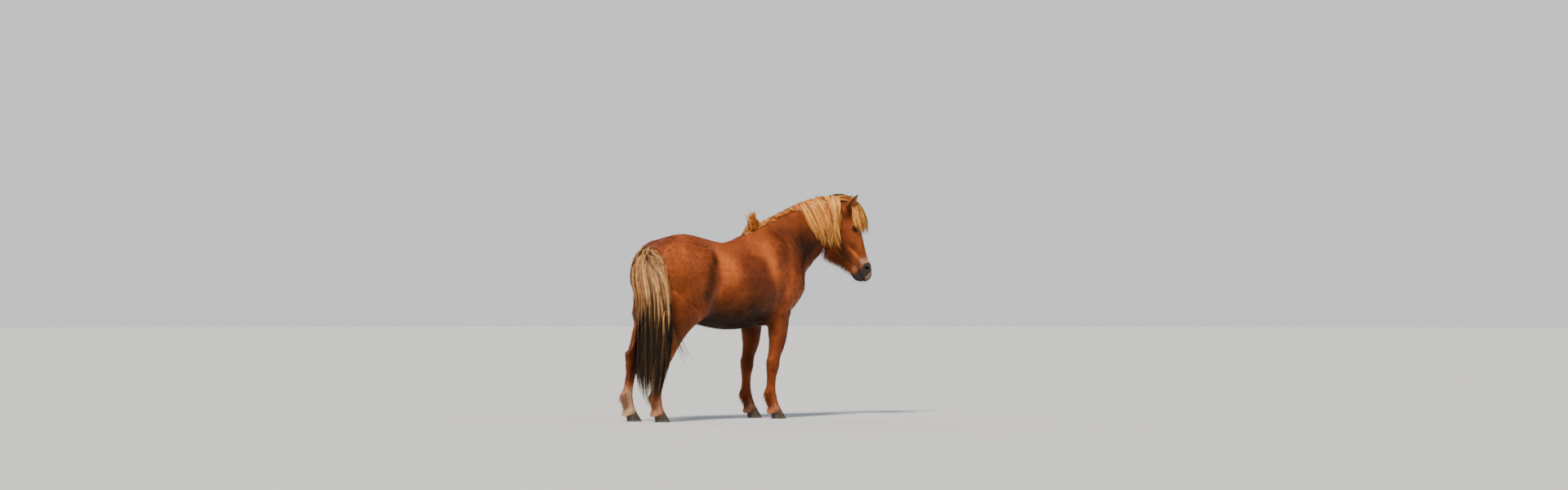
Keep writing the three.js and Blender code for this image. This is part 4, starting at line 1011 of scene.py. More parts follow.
def short_coat(name, share, count, seed):
    """Spindle-shaped tufts: a buried root, a low ridge and a fine tip, shaded as the skin under them."""
    dice = np.random.default_rng(seed)
    chosen, weights = GROUND.scatter(share, count, dice)
    root, normal, uv = GROUND.read(chosen, weights)
    size = TUFT_LENGTH(root) * dice.uniform(0.75, 1.25, count)
    broad = TUFT_WIDTH(root) * dice.uniform(0.75, 1.25, count)
    rise = TUFT_LIFT(root) * dice.uniform(0.4, 1.6, count)
    clumps = bumps(root, 0.050, seed + 1) + 0.6 * bumps(root, 0.016, seed + 2)
    lie = lie_of(root, normal)
    across = np.cross(normal, lie)
    turn = 0.16 * clumps + dice.normal(0, 0.09, count)
    way = unit(lie * np.cos(turn)[:, None] + across * np.sin(turn)[:, None])
    across = unit(np.cross(normal, way))
    col = lambda v: v[:, None]
    start = root - normal * 0.0012
    middle_at = root + way * col(size * 0.45) + normal * col(0.0003 + size * rise * 0.40)
    tip = root + way * col(size) + normal * col(size * rise * 0.75)
    beside = across * col(broad / 2)
    points = np.stack((start, middle_at - beside, middle_at + normal * col(broad * 0.22), middle_at + beside,
                       tip), 1)
    corners = (TUFT_FACES[None] + 5 * np.arange(count)[:, None, None]).reshape(-1, 3)
    mesh = array_mesh(name, points.reshape(-1, 3), corners)
    leaning = np.stack((normal, unit(normal - 0.10 * across), normal, unit(normal + 0.10 * across),
                        unit(normal - 0.05 * way)), 1)
    mesh.normals_split_custom_set_from_vertices(leaning.reshape(-1, 3))
    for mark, values in GROUND.marks(chosen, weights).items():
        write_values(mesh, mark, np.repeat(values, 5))
    tone = np.clip(0.5 + 0.22 * clumps + dice.normal(0, 0.14, count), 0, 1)
    write_values(mesh, "hair", np.repeat(tone, 5))
    write_patches(mesh, uv, TUFT_PATCH)
    return piece_of(name, mesh, COAT_LOOK, "coat")


def region_shares():
    """How densely the coat of head, legs and trunk stands on each triangle of the skin."""
    x, _, z = ((GROUND.middles + SHIFT) * 1000).T
    places = head_places(GROUND.middles)
    u = places[:, 0]
    head = step(x, 1000, 1060) * (u > -0.3)
    bare = (1 - step(away_from(places, EYE), 0.030, 0.036)) * head
    muzzle = np.mean(GROUND.values["muzzle"][GROUND.corners], 1)
    keep = (1 - bare) * (1 - 0.75 * muzzle * (u > 0.4)) * step(z, 62, 70)
    legs = 1 - step(z, 560, 760)
    return head * keep, legs * keep * (1 - head), (1 - head) * (1 - legs) * keep


HEAD_SHARE, LEG_SHARE, TRUNK_SHARE = region_shares()


def by_region(trunk, leg, head, muzzle):
    """A reader of a size of the tufts, which changes over the body."""
    def read(points):
        x, _, z = ((points + SHIFT) * 1000).T
        down_face = head_places(points)[:, 0]
        in_head = step(x, 960, 1060) * step(z, 900, 1000)
        value = trunk + (leg - trunk) * (1 - step(z, 420, 760))
        value = value + (head - value) * in_head
        return value + (muzzle - value) * in_head * step(down_face, 0.38, 0.50)
    return read


TUFT_LENGTH = by_region(0.034, 0.022, 0.015, 0.008)
TUFT_WIDTH = by_region(0.0030, 0.0024, 0.0017, 0.0012)
TUFT_LIFT = by_region(0.045, 0.055, 0.055, 0.06)


short_coat("coat_trunk_lower_layer", TRUNK_SHARE, 20500, 11)
short_coat("coat_trunk_upper_layer", TRUNK_SHARE, 20500, 12)
short_coat("coat_legs", LEG_SHARE, 11000, 13)
short_coat("coat_head", HEAD_SHARE, 16500, 14)


# Long hair: strands of three-sided section, each closed, gathered in locks

def strands(name, paths, outs, wide, thick, marks, material, slot, nodes, uv, soft=False):
    """paths and outs are strands x stations x 3. The first and last stations close the strand in a point.
    Soft strands are shaded as the mass of hair that they lie in."""
    count, stations = paths.shape[:2]
    along = unit(np.gradient(paths, axis=1))
    across = unit(np.cross(along, outs))
    over = unit(np.cross(across, along))
    t = np.linspace(0, 1, stations)
    width = wide[:, None] * np.interp(t, [0, 0.12, 0.55, 0.85, 1], [0.55, 1.0, 0.95, 0.6, 0.0])[None]
    height = thick[:, None] * np.interp(t, [0, 0.12, 0.7, 1], [0.8, 1.0, 0.8, 0.0])[None]
    inner = slice(1, stations - 1)
    ring = np.stack((paths[:, inner] - across[:, inner] * width[:, inner, None] / 2,
                     paths[:, inner] + over[:, inner] * height[:, inner, None],
                     paths[:, inner] + across[:, inner] * width[:, inner, None] / 2), 2)
    rings = stations - 2
    per = rings * 3 + 2
    points = np.concatenate((ring.reshape(count, -1, 3), paths[:, :1], paths[:, -1:]), 1)
    faces = []
    for r in range(rings - 1):
        for k in range(3):
            a, b = r * 3 + k, r * 3 + (k + 1) % 3
            faces += [(a, b, a + 3), (b, b + 3, a + 3)]
    for k in range(3):
        faces.append((per - 2, (k + 1) % 3, k))
        last = (rings - 1) * 3
        faces.append((per - 1, last + k, last + (k + 1) % 3))
    corners = (np.array(faces)[None] + per * np.arange(count)[:, None, None]).reshape(-1, 3)
    mesh = array_mesh(name, points.reshape(-1, 3), corners)
    if soft:
        leaning = np.stack((over[:, inner] - 0.55 * across[:, inner], over[:, inner],
                            over[:, inner] + 0.55 * across[:, inner]), 2).reshape(count, -1, 3)
        leaning = unit(np.concatenate((leaning, over[:, :1] - along[:, :1],
                                       over[:, -1:] + along[:, -1:]), 1))
        mesh.normals_split_custom_set_from_vertices(leaning.reshape(-1, 3))
    share = np.concatenate((np.repeat(t[inner], 3), [0, 1]))
    write_values(mesh, "along", np.tile(share, count))
    for key, values in marks.items():
        values = np.asarray(values)
        if values.ndim == 1:
            values = np.repeat(values[:, None], stations, 1)
        spread = np.concatenate((np.repeat(values[:, inner], 3, axis=1), values[:, :1], values[:, -1:]), 1)
        write_values(mesh, key, spread.ravel())
    write_patches(mesh, uv, [(2 * s - 1, (k % 3 - 1) * 0.8) for k, s in enumerate(share)])
    return piece_of(name, mesh, material, slot, *nodes)


def uv_at(points):
    """Places on the unwrapped skin of the skin's nearest points."""
    places = np.zeros((len(points), 2))
    for i, point in enumerate(points):
        face = TREE.find_nearest(Vector(point))[2]
        loop = SKIN.data.polygons[face].loop_start
        places[i] = SKIN.data.uv_layers["OFBake"].data[loop].uv
    return places


def drape(start, length, steps, heading, height):
    """Walks over the skin from start: places, and the skin's own direction outwards at each."""
    spots, outs = [], []
    spot = Vector(start)
    stride = length / steps
    for i in range(steps + 1):
        near, normal, _, _ = TREE.find_nearest(spot)
        t = i / steps
        spots.append(np.array(near + normal * height(t)))
        outs.append(np.array(normal))
        way = Vector(heading(np.array(near), t))
        way -= normal * way.dot(normal)
        spot = near + way.normalized() * stride
    return np.array(spots), np.array(outs)


# Mane: share of the crest from the withers to the poll, how far it falls on the near and the far side and how
# thick it lies, in millimetres, and how much it sweeps forward at the root and at the end of the near side

MANE = np.array([
    [0.00, 30, 90, 8, 0.6, 0.4],
    [0.10, 36, 170, 12, 0.9, 0.6],
    [0.22, 40, 230, 12, 1.1, 0.8],
    [0.36, 42, 250, 13, 1.2, 0.9],
    [0.50, 46, 240, 16, 1.2, 0.9],
    [0.56, 150, 220, 20, 0.50, 0.50],
    [0.59, 360, 215, 24, 0.10, 0.75],
    [0.62, 420, 210, 26, 0.12, 0.75],
    [0.69, 460, 160, 32, 0.40, 0.38],
    [0.79, 460, 110, 40, 0.28, 0.08],
    [0.86, 420, 85, 46, 0.04, -0.06],
    [0.92, 345, 70, 50, -0.18, -0.08],
    [0.96, 285, 60, 52, -0.30, -0.10],
    [1.00, 235, 50, 54, -0.38, -0.06],
])
CREST = curve_through([place(*p) for p in [(320, 0, 1330), (400, 0, 1345), (470, 0, 1362), (600, -4, 1450),
                                           (740, -20, 1520), (880, -50, 1562), (1010, -90, 1584),
                                           (1095, -118, 1584)]], 80)


ABOVE_CREST = 0.09  # clear of the skin, from where the locks are let down on it


def crest_at(share):
    """A place above the crest, and the way forward along it."""
    ahead = read_at(CREST, min(1, share + 0.01)) - read_at(CREST, max(0, share - 0.01))
    return read_at(CREST, share) + UP * ABOVE_CREST, ahead


FAR_SIDE_SWEEP = 0.3


def mane_guides(side, count, seed, start=0.0, end=0.97, lift=1.0, short=1.0):
    """Guide lines for locks that fall to one side."""
    dice = np.random.default_rng(seed)
    guides = []
    for i in range(count):
        share = start + (end - start) * (i + dice.uniform(0.1, 0.9)) / count
        near, far, thick, sweep, sweep_end = (np.interp(share, MANE[:, 0], column) for column in MANE.T[1:])
        length = (near if side < 0 else far) / 1000 * dice.uniform(0.80, 1.05) * short
        if side > 0:
            sweep = sweep_end = FAR_SIDE_SWEEP
        root, ahead = crest_at(share)
        forward = unit(ahead * (1, 1, 0))
        bend = dice.uniform(-0.10, 0.10)
        wave = dice.uniform(0.04, 0.13) * dice.choice([-1, 1])
        phase = dice.uniform(0, 3)
        over = step(share, 0.54, 0.64) * (side < 0)

        def heading(_, t, forward=forward, low=sweep + bend, high=sweep_end + bend, wave=wave, phase=phase):
            slope = low + (high - low) * t + wave * math.sin(5.5 * t + phase)
            return np.array((0, side * (0.5 if t > 0.12 else 1.6), -1.0)) + forward * slope
        layer = dice.random() * lift

        def lie(t, thick=thick, layer=layer):
            full = np.interp(t, [0, 0.06, 0.16, 0.5, 1], [0.02, 0.50, 0.95, 0.78, 0.40])
            return 0.003 + thick / 1000 * (0.25 + 0.80 * layer) * full
        root = root - side * np.array((0, 1, 0)) * (0.030 * over + dice.uniform(-0.008, 0.008))
        path, outs = drape(root, length, 14, heading, lie)
        guides.append((path, outs, length, share))
    return guides


def locks(guides, per, half_wide, half_thick, seed, stations=8, spread_root=1.0, keep_off=0.0015,
          reach_low=0.70):
    """Fills each guide with strands: a few wisps in each lock, and each gathers towards its end."""
    dice = np.random.default_rng(seed)
    paths, all_outs, shares, tones = [], [], [], []
    t = np.linspace(0, 1, stations)
    for path, outs, length, share in guides:
        along = unit(np.gradient(path, axis=0))
        table = np.concatenate((path, unit(np.cross(along, outs)), outs, along), 1)
        tone = dice.uniform(0.1, 0.95)
        wisps = [(dice.uniform(-1, 1), dice.uniform(-1, 1), dice.uniform(reach_low, 1.05),
                  dice.normal(0, 0.35), np.clip(tone + dice.normal(0, 0.22), 0, 1)) for _ in range(4)]
        for _ in range(per):
            aside, off, reach, swing, wisp_tone = wisps[dice.integers(4)]
            reach = reach * dice.uniform(0.88, 1.0)
            line, side_way, out_way, run_way = np.split(read_at(table, np.clip(t * reach, 0, 1)), 4, 1)
            gather = np.interp(t, [0, 0.25, 0.7, 1], [spread_root, 1.0, 0.85, 0.7])
            fine = np.interp(t, [0, 0.3, 1], [0.5, 0.40, 0.28]) * dice.normal(0, 1)
            fine_off = np.interp(t, [0, 0.3, 1], [0.3, 0.6, 0.1]) * dice.normal(0, 0.6)
            stray = dice.normal(0, 0.9) * t ** 3 * (dice.random() < 0.12)
            wave = 0.07 * np.sin(t * dice.uniform(5, 9) + dice.uniform(0, 6)) * t
            line = line + (np.maximum(t * reach - 1, 0) * length)[:, None] * run_way
            line += side_way * (half_wide * (aside * gather + fine + swing * t ** 2 + wave + stray))[:, None]
            off = off * np.interp(t, [0, 0.2, 1], [0.25, 1.0, 0.5])
            line += out_way * (half_thick * (off + fine_off + abs(stray)))[:, None]
            paths.append(line)
            all_outs.append(out_way)
            shares.append(share)
            tones.append(wisp_tone + dice.normal(0, 0.12))
    paths, all_outs = np.array(paths), np.array(all_outs)
    if keep_off is not None:
        clear_skin(paths, keep_off)
    return paths, all_outs, np.array(shares), np.clip(tones, 0, 1)


SKIN_SEARCH = 0.06  # hair that is further from the skin is left as it is


def clear_skin(paths, least):
    """Lifts what lies in the skin, all but the roots."""
    for s in range(1, paths.shape[1]):
        for i in range(len(paths)):
            near, normal, _, _ = TREE.find_nearest(Vector(paths[i, s]), SKIN_SEARCH)
            if near is None:
                continue
            height = (Vector(paths[i, s]) - near).dot(normal)
            if height < least:
                paths[i, s] += np.array(normal) * (least - height)


def long_hair(name, guides, per, half_wide, half_thick, seed, wide, look, slot, nodes=(), dark=None,
              shade=0.0, soft=True, **more):
    """A piece of long hair, with per strands for each guide. wide is the least and the greatest width."""
    paths, outs, shares, tones = locks(guides, per, half_wide, half_thick, seed, **more)
    dice = np.random.default_rng(seed + 1)
    count = len(paths)
    darkness = np.zeros(paths.shape[:2]) if dark is None else dark(paths, shares)
    widths, thicknesses = dice.uniform(*wide, count), dice.uniform(0.30, 0.42, count) * wide[1]
    # shade darkens every strand: painted shade on an under layer, a darker or (below 0) paler tone on the
    # others
    marks = {"hair": np.clip(tones - shade, 0, 1), "dark": darkness}
    return strands(name, paths, outs, widths, thicknesses, marks, look, slot, nodes, uv_at(paths[:, 0]), soft)


def withers_tuft():
    """Wind lifts the hair at the withers to a tuft with its tips together."""
    dice = np.random.default_rng(5)
    guides = []
    t = np.linspace(0, 1, 10)
    count = 96
    for i in range(count):
        x = 215 + 220 * (i + dice.random()) / count
        near, normal, _, _ = TREE.find_nearest(Vector(place(x, dice.uniform(-14, 14), 1390)))
        high = (0.070 + 0.110 * hump(x - 312, 62)) * dice.uniform(0.75, 1.15)
        lean = np.clip((318 - x + dice.normal(0, 30)) / 1000, -0.075, 0.085)
        curl = dice.uniform(-0.035, 0.004)
        path = np.array(near)[None] - np.array(normal) * 0.004 + np.stack(
            (lean * t + curl * t ** 3, -0.012 * t + dice.normal(0, 0.008) * t, high * (t - 0.10 * t ** 3)), 1)
        guides.append((path, np.tile(unit(np.array((-0.5, -1, 0.1))), (10, 1)), high, 0.0))
    return guides


def poll_guides(count, seed):
    """Hair that runs forward from the top of the mane between the ears."""
    dice = np.random.default_rng(seed)
    guides = []
    for _ in range(count):
        near, normal, _, _ = TREE.find_nearest(Vector(crest_at(dice.uniform(0.80, 1.0))[0]))
        aside, layer = dice.uniform(-1, 1), dice.random()
        rise = 0.003 + 0.030 * layer * math.sqrt(1 - aside * aside)
        start = np.array(near) - np.array(normal) * 0.003
        path = curve_through([start, start + UP * rise + AHEAD * 0.045 + HEAD_LEFT * 0.016 * aside,
                              on_head(-0.014 - 1.5 * rise, 0.045, 0.026 * aside),
                              on_head(0.010, 0.060 + 1.3 * rise, 0.034 * aside),
                              on_head(0.060, 0.078 + rise, 0.046 * aside),
                              on_head(0.060 + dice.uniform(0.03, 0.10), 0.080 + rise, 0.056 * aside)], 14)
        outs = unit(np.stack((np.interp(np.linspace(0, 1, 14), [0, 0.4, 1], [-1.0, -0.9, 0]),
                              np.linspace(0.2, 1, 14), np.full(14, 0.8 * aside)), 1) @ HEAD_AXES)
        guides.append((path, outs, 0.25, 0.0))
    return guides


WIDE_MANE = (0.0017, 0.0038)
MANE_HAIR = (MANE_LOOK, "mane_hair")
# the under layer's strands are painted darker: painted shade under the layer that lies over it
long_hair("mane_near_side_under", mane_guides(-1, 190, 71, 0.575, 0.985, 0.5, 0.94), 18, 0.011, 0.004, 81,
          WIDE_MANE, *MANE_HAIR, ("mane",), shade=0.25, stations=7)
long_hair("mane_near_side_over", mane_guides(-1, 210, 72, 0.585, 0.985), 21, 0.009, 0.004, 82, WIDE_MANE,
          *MANE_HAIR)
long_hair("mane_crest", mane_guides(-1, 130, 74, 0.0, 0.58) + mane_guides(1, 60, 75, 0.0, 0.99, 0.25, 0.45),
          12, 0.011, 0.004, 83, (0.0014, 0.0030), CREST_LOOK, "mane_hair", stations=7)
long_hair("mane_at_withers", withers_tuft(), 18, 0.010, 0.006, 85, (0.0012, 0.0028), *MANE_HAIR,
          shade=0.08, soft=False, stations=7, reach_low=0.6)
long_hair("mane_poll", poll_guides(90, 76), 19, 0.009, 0.005, 86, WIDE_MANE, *MANE_HAIR)
long_hair("mane_far_side", mane_guides(1, 110, 73, 0.0, 0.97, 0.8), 22, 0.015, 0.005, 84, WIDE_MANE,
          *MANE_HAIR, stations=7)


def forelock_guides(count, seed):
    """From between the ears over the forehead, in layers from the skin outwards."""
    dice = np.random.default_rng(seed)
    guides = []
    t = np.linspace(0, 1, 14)
    down_face = [-0.03, 0.03, 0.11, 0.20, 0.30]
    for _ in range(count):
        aside = np.clip(dice.normal(0, 0.5), -1, 1)
        layer = dice.random() ** 0.8
        end = dice.uniform(0.222, 0.312) - 0.045 * abs(aside)
        start = dice.uniform(-0.045, 0.015)
        u = start + (end - start) * t
        turn = aside * math.radians(80) * step(t, -0.25, 0.75) + dice.normal(0, 0.05) * t
        forward = np.interp(u, down_face, [0.058, 0.060, 0.072, 0.071, 0.060])
        sideways = np.interp(u, down_face, [0.044, 0.050, 0.073, 0.084, 0.066])
        full = np.interp(t, [0, 0.14, 0.45, 0.8, 1], [0.25, 0.85, 1.0, 1.0, 0.92])
        lift = 0.003 + (0.004 + 0.068 * layer * math.cos(min(1.2, abs(aside) * 1.1))) * full
        v = (forward + lift) * np.cos(turn)
        w = (sideways + 0.6 * lift) * np.sin(turn) + 0.012 * math.copysign(1, aside) * (1 - t)
        path = POLL + np.stack((u, v, w), 1) @ HEAD_AXES
        outs = unit(np.stack((0 * t, np.cos(turn), np.sin(turn)), 1) @ HEAD_AXES)
        guides.append((path, outs, 0.25, 0.0))
    return guides


long_hair("forelock_hair", forelock_guides(175, 31), 20, 0.008, 0.004, 32, (0.0015, 0.0034), *MANE_HAIR,
          ("forelock",), shade=-0.25, spread_root=0.8)


# Tail

TAIL_SIDE = np.array((0.42, -0.91, 0.0))
TAIL = np.array([  # middle of the tail from the dock down, and its half-widths sideways and front to back
    (-640, -4, 1204, 44, 34), (-716, -18, 1226, 66, 46), (-768, -66, 1148, 106, 56),
    (-790, -119, 1030, 120, 58), (-802, -173, 900, 120, 60), (-818, -199, 750, 126, 58),
    (-825, -198, 600, 134, 54), (-828, -184, 450, 134, 50), (-826, -170, 320, 120, 44),
    (-822, -156, 200, 92, 36), (-818, -146, 90, 40, 18)], float)
GOLDEN_SHARE = 0.618034  # of a turn, which spreads locks evenly round the tail
DARK_BELOW, PALE_ABOVE = 820, 1230  # where the tail's hair turns from black to flaxen, in millimetres
DOCK_HIGH = 1.20


def tail_frame(stations):
    """Places along the tail's middle, with its half-widths and the ways sideways and behind."""
    table = TAIL / 1000
    table[:, :3] -= SHIFT
    line = curve_through(table, stations)
    along = unit(np.gradient(line[:, :3], axis=0))
    side = unit(TAIL_SIDE - along * (along @ TAIL_SIDE)[:, None])
    behind = np.cross(along, side)
    return np.concatenate((line, side, behind), 1)


TAIL_LINE = tail_frame(60)


def tail_guide(at, spread, turned):
    """A line through the tail: at is how far down, spread how far out, turned the angle round its middle."""
    middle_line, widths, sideways, behind = np.split(read_at(TAIL_LINE, at), (3, 5, 8), 1)
    wide, deep = widths[:, :1], widths[:, 1:]
    across, back = (spread * np.cos(turned))[:, None], (spread * np.sin(turned))[:, None]
    path = middle_line + sideways * wide * across + behind * deep * back
    outs = unit(sideways * across / wide + behind * back / deep + 1e-6)
    return path, outs, float(across.mean())


def tail_guides(count, seed, out_low, out_high, starts, ends):
    """Guide lines all round the tail, between two distances from its middle."""
    dice = np.random.default_rng(seed)
    guides = []
    t = np.linspace(0, 1, 18)
    for i in range(count):
        angle = 2 * math.pi * ((i * GOLDEN_SHARE) % 1 + dice.uniform(-0.02, 0.02))
        out = dice.uniform(out_low, out_high)
        start, end = dice.uniform(*starts), dice.uniform(*ends)
        at = start + (end - start) * t
        spread = out * np.minimum(1, 0.28 + 3.0 * t) * (1 + 0.06 * np.sin(t * 6 + dice.uniform(0, 6)))
        turned = angle + dice.uniform(-0.30, 0.30) * np.sin(t * 3.5 + dice.uniform(0, 3))
        path, outs, across = tail_guide(at, spread, turned)
        guides.append((path, outs, (end - start) * 1.25, across))
    return guides


def dock_fan(count, seed):
    """Shorter pale hair that parts at the top of the tail and spreads to both sides."""
    dice = np.random.default_rng(seed)
    guides = []
    t = np.linspace(0, 1, 12)
    for _ in range(count):
        side = dice.choice([-1, 1])
        start, end = dice.uniform(0.0, 0.15), dice.uniform(0.20, 0.56)
        angle = (math.pi / 2) - side * dice.uniform(0.1, 1.5) * step(t, -0.1, 0.5)
        spread = dice.uniform(0.95, 1.18) * np.interp(t, [0, 0.3, 1], [0.5, 1.0, 1.02])
        path, outs, across = tail_guide(start + (end - start) * t, spread, angle)
        path += UP * 0.014 * np.sin(math.pi * np.clip(t * 1.6, 0, 1))[:, None]
        guides.append((path, outs, (end - start) * 1.25, across))
    return guides


def tail_dark(inner):
    """How dark the tail's hair is, which comes later at its edges and less at its very end."""
    def read(paths, shares):
        z = ((paths + SHIFT) * 1000)[..., 2]
        edge = np.clip(np.abs(shares) * 1.5, 0, 1)[:, None] * (1 - 0.7 * inner)
        uneven = 140 * bumps(paths[:, 0] * (1, 1, 0.3), 0.045, 31)[:, None]
        dark = 1 - step(z, DARK_BELOW - 130 * edge + uneven, PALE_ABOVE - 210 * edge + uneven)
        return np.clip(0.95 * dark + 0.35 * inner, 0, 1) * (1 - 0.36 * (1 - step(z, 140, 420)))
    return read


def dock_dark(paths, _):
    """A little darker at the roots on the dock."""
    return 0.22 * hump((paths + SHIFT)[..., 2] - DOCK_HIGH, 0.05)


def stray_wisp():
    """A few strands that the wind carries forward from the tail."""
    dice = np.random.default_rng(8)
    t = np.linspace(0, 1, 12)
    guides = []
    for _ in range(5):
        start = place(-745, -310, dice.uniform(700, 800))
        drift = dice.uniform(0.10, 0.17)
        fall = -dice.uniform(0.34, 0.42)
        path = start + np.stack((drift * (0.5 * t + 0.9 * t * t), -0.02 * t, fall * t), 1)
        guides.append((path, np.tile((0, -1.0, 0), (12, 1)), 0.4, 0.9))
    return guides


WIDE_TAIL = (0.0019, 0.0042)
TAIL_HAIR = (TAIL_LOOK, "tail_hair")
FREE = {"keep_off": None, "stations": 7}
long_hair("tail_outer_hair", tail_guides(175, 51, 0.70, 1.0, (0.0, 0.26), (0.72, 1.0)), 24, 0.012, 0.006, 54,
          WIDE_TAIL, *TAIL_HAIR, ("tail",), tail_dark(0.0), **FREE)
long_hair("tail_middle_hair", tail_guides(130, 52, 0.35, 0.85, (0.0, 0.30), (0.62, 1.02)), 22, 0.014, 0.008,
          55, WIDE_TAIL, *TAIL_HAIR, (), tail_dark(0.4), **FREE)
long_hair("tail_inner_hair", tail_guides(64, 53, 0.0, 0.5, (0.05, 0.3), (0.6, 0.93)), 24, 0.022, 0.010, 56,
          (0.0030, 0.0060), *TAIL_HAIR, (), tail_dark(1.0), **FREE)
long_hair("tail_top_hair", dock_fan(150, 57), 17, 0.009, 0.006, 58, (0.0016, 0.0036), *TAIL_HAIR, (),
          dock_dark, keep_off=0.002, stations=7)
long_hair("tail_wisp", stray_wisp(), 6, 0.012, 0.004, 59, (0.0010, 0.0018), *TAIL_HAIR, (),
          lambda paths, _: np.full(paths.shape[:2], 0.8), soft=False, keep_off=0.002)


# Fringes: hair that stands off the coat on fetlocks, cannons, coronets, jaw, chin, ears and belly, and lashes

def fringe(name, share, count, length, way, wide, seed, marks=None, hang=0.3, stations=4):
    """Hairs rooted on the skin where share is above 0. way gives their direction from points, lie and
    normals, and marks, where given, takes the place of the skin's own."""
    dice = np.random.default_rng(seed)
    chosen, weights = GROUND.scatter(share, count, dice)
    root, normal, uv = GROUND.read(chosen, weights)
    lie = lie_of(root, normal)
    clumps = bumps(root, 0.018, seed + 3)[:, None]
    heading = unit(way(root, lie, normal) + 0.16 * dice.normal(size=(count, 3))
                   + 0.22 * clumps * np.cross(normal, lie))
    size = (length(root) if callable(length) else length) * dice.uniform(0.55, 1.1, count)
    t = np.linspace(0, 1, stations)[None, :, None]
    paths = (root - normal * 0.001)[:, None] + heading[:, None] * size[:, None, None] * t
    paths -= UP * (hang * size[:, None, None] * t * t)
    outs = np.repeat(normal[:, None], stations, 1)
    values = {"hair": np.clip(0.5 + 0.25 * clumps[:, 0] + dice.normal(0, 0.15, count), 0, 1),
              "dark": np.zeros(count)}
    values.update(marks or GROUND.marks(chosen, weights))
    return strands(name, paths, outs, dice.uniform(0.5, 1.0, count) * wide,
                   dice.uniform(0.2, 0.35, count) * wide, values, COAT_LOOK, "coat", (), uv)


def one_mark(mark, amount, count):
    """The same amount of one mark on so many hairs, and none of the others."""
    return {name: np.full(count, amount if name == mark else 0.0) for name in MARKS}


def make_fringes():
    """Each share is computed for the skin's triangles: where they are, and the way they face."""
    middles = GROUND.middles
    a, b, c = (GROUND.points[GROUND.corners[:, k]] for k in range(3))
    facing = unit(np.cross(b - a, c - a))
    x, _, z = ((middles + SHIFT) * 1000).T
    u, v, w = head_places(middles).T
    head = x > 1000
    back = step(-facing[:, 0], 0.15, 0.7)
    fetlocks = np.zeros(len(x))
    for leg in LEG_BONES:
        for side in SIDES.values():
            heel = leg_bones(leg, side)[2] + (-0.02, 0, -0.015)
            fetlocks = np.maximum(fetlocks, 1 - step(np.linalg.norm(middles - heel, axis=1), 0.035, 0.085))
    fringe("feather_of_fetlocks", fetlocks * back * step(z, 70, 90), 2300, 0.046,
           lambda p, lie, n: lie * 0.9 + n * 0.32 + np.array((-0.15, 0, -0.5)), 0.0017, 91)
    fringe("fringe_of_cannons", back * band(z, 150, 200, 400, 470), 1200, 0.022,
           lambda p, lie, n: lie + n * 0.30, 0.0014, 92)
    fringe("fringe_of_coronets", band(z, 60, 66, 84, 96), 1600, 0.020,
           lambda p, lie, n: lie + n * 0.22, 0.0015, 93, hang=0.15)
    under = step(-(facing @ OUT_OF_FACE) * 0.7 - facing[:, 2] * 0.7, 0.55, 0.85)
    jaw = under * head * band(u, 0.16, 0.22, 0.44, 0.52) * (np.abs(w) < 0.075)
    fringe("beard_of_jaw", jaw * (1 - 0.5 * step(u, 0.30, 0.42)), 1900,
           lambda p: 0.034 + 0.046 * (1 - step(head_places(p)[:, 0], 0.22, 0.46)),
           lambda p, lie, n: lie * 0.5 + n * 0.6 + np.array((0, 0, -0.6)), 0.0013, 94, stations=5)
    fringe("whiskers_of_chin", head * step(u, 0.50, 0.53) * (v < -0.02), 90, 0.030,
           lambda p, lie, n: n + lie * 0.3, 0.0006, 95, one_mark("muzzle", 1.0, 90), hang=0.1)
    for side_name, side in SIDES.items():
        root = on_head(0.050, -0.010, 0.050 * side)
        tip = head_way(-0.52, 0.84, 0.15 * side)
        opening = facing @ head_way(0.35, 0.35, side) > 0.25
        high = (middles - root) @ tip
        inside = opening & (high > 0.03) & (high < 0.13) & (w * side > 0) & (v > 0.0) & head
        fringe("hair_of_ear_" + side_name, inside.astype(float), 420, 0.022,
               lambda p, lie, n: tip * 0.9 + n * 0.25, 0.0013, 96, one_mark("pale", 0.6, 420), hang=0.0)
    belly = step(-facing[:, 2], 0.8, 0.95) * band(x, -260, -180, 420, 520) * (z < 760)
    fringe("fringe_of_belly", belly, 1100, 0.022, lambda p, lie, n: lie + n * 0.35, 0.0016, 97)


def make_lashes():
    """Short dark lashes along the edge of each upper lid."""
    dice = np.random.default_rng(61)
    count, stations = 46, 5
    t = np.linspace(0, 1, stations)[None, :, None]
    for side_name, side in SIDES.items():
        along, upward, out = eye_axes(side)
        x = dice.uniform(-0.016, 0.018, count)
        y = LID_HIGH * (1 - (x / EYE_HALF) ** 2) ** 0.62 + 0.0012
        z = np.sqrt((EYE_RADIUS + 0.0030) ** 2 - x * x - y * y)
        root = eye_centre(side) + np.stack((x, y, z), 1) @ np.stack((along, upward, out))
        way = unit(out + 0.25 * along * np.sign(x)[:, None] - 0.35 * upward
                   + 0.12 * dice.normal(size=(count, 3)))
        size = dice.uniform(0.009, 0.015, count)[:, None, None]
        paths = root[:, None] + way[:, None] * size * t + upward * (0.25 * size * t ** 2)
        strands("lashes_" + side_name, paths, np.tile(upward, (count, stations, 1)), np.full(count, 0.0006),
                np.full(count, 0.0003), {**one_mark("black", 1.0, count), "hair": np.full(count, 0.2)},
                COAT_LOOK, "coat", (), uv_at(root))


make_fringes()
make_lashes()


# Hooves

def make_hoof(node_name):
    """The solid's own hoof, merged, so that its horn is shaded smooth."""
    made = bmesh.new()
    made.from_mesh(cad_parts[node_name].data)
    bmesh.ops.remove_doubles(made, verts=made.verts, dist=1e-5)
    mesh = bpy.data.meshes.new(node_name + "_horn")
    made.to_mesh(mesh)
    made.free()
    mesh.shade_smooth()
    piece_of(node_name + "_horn", mesh, HORN_LOOK, "hoof", node_name)


for leg in LEG_BONES:
    for side_name in SIDES:
        make_hoof(f"hoof_{leg}_leg_{side_name}")


# Floor, light and camera

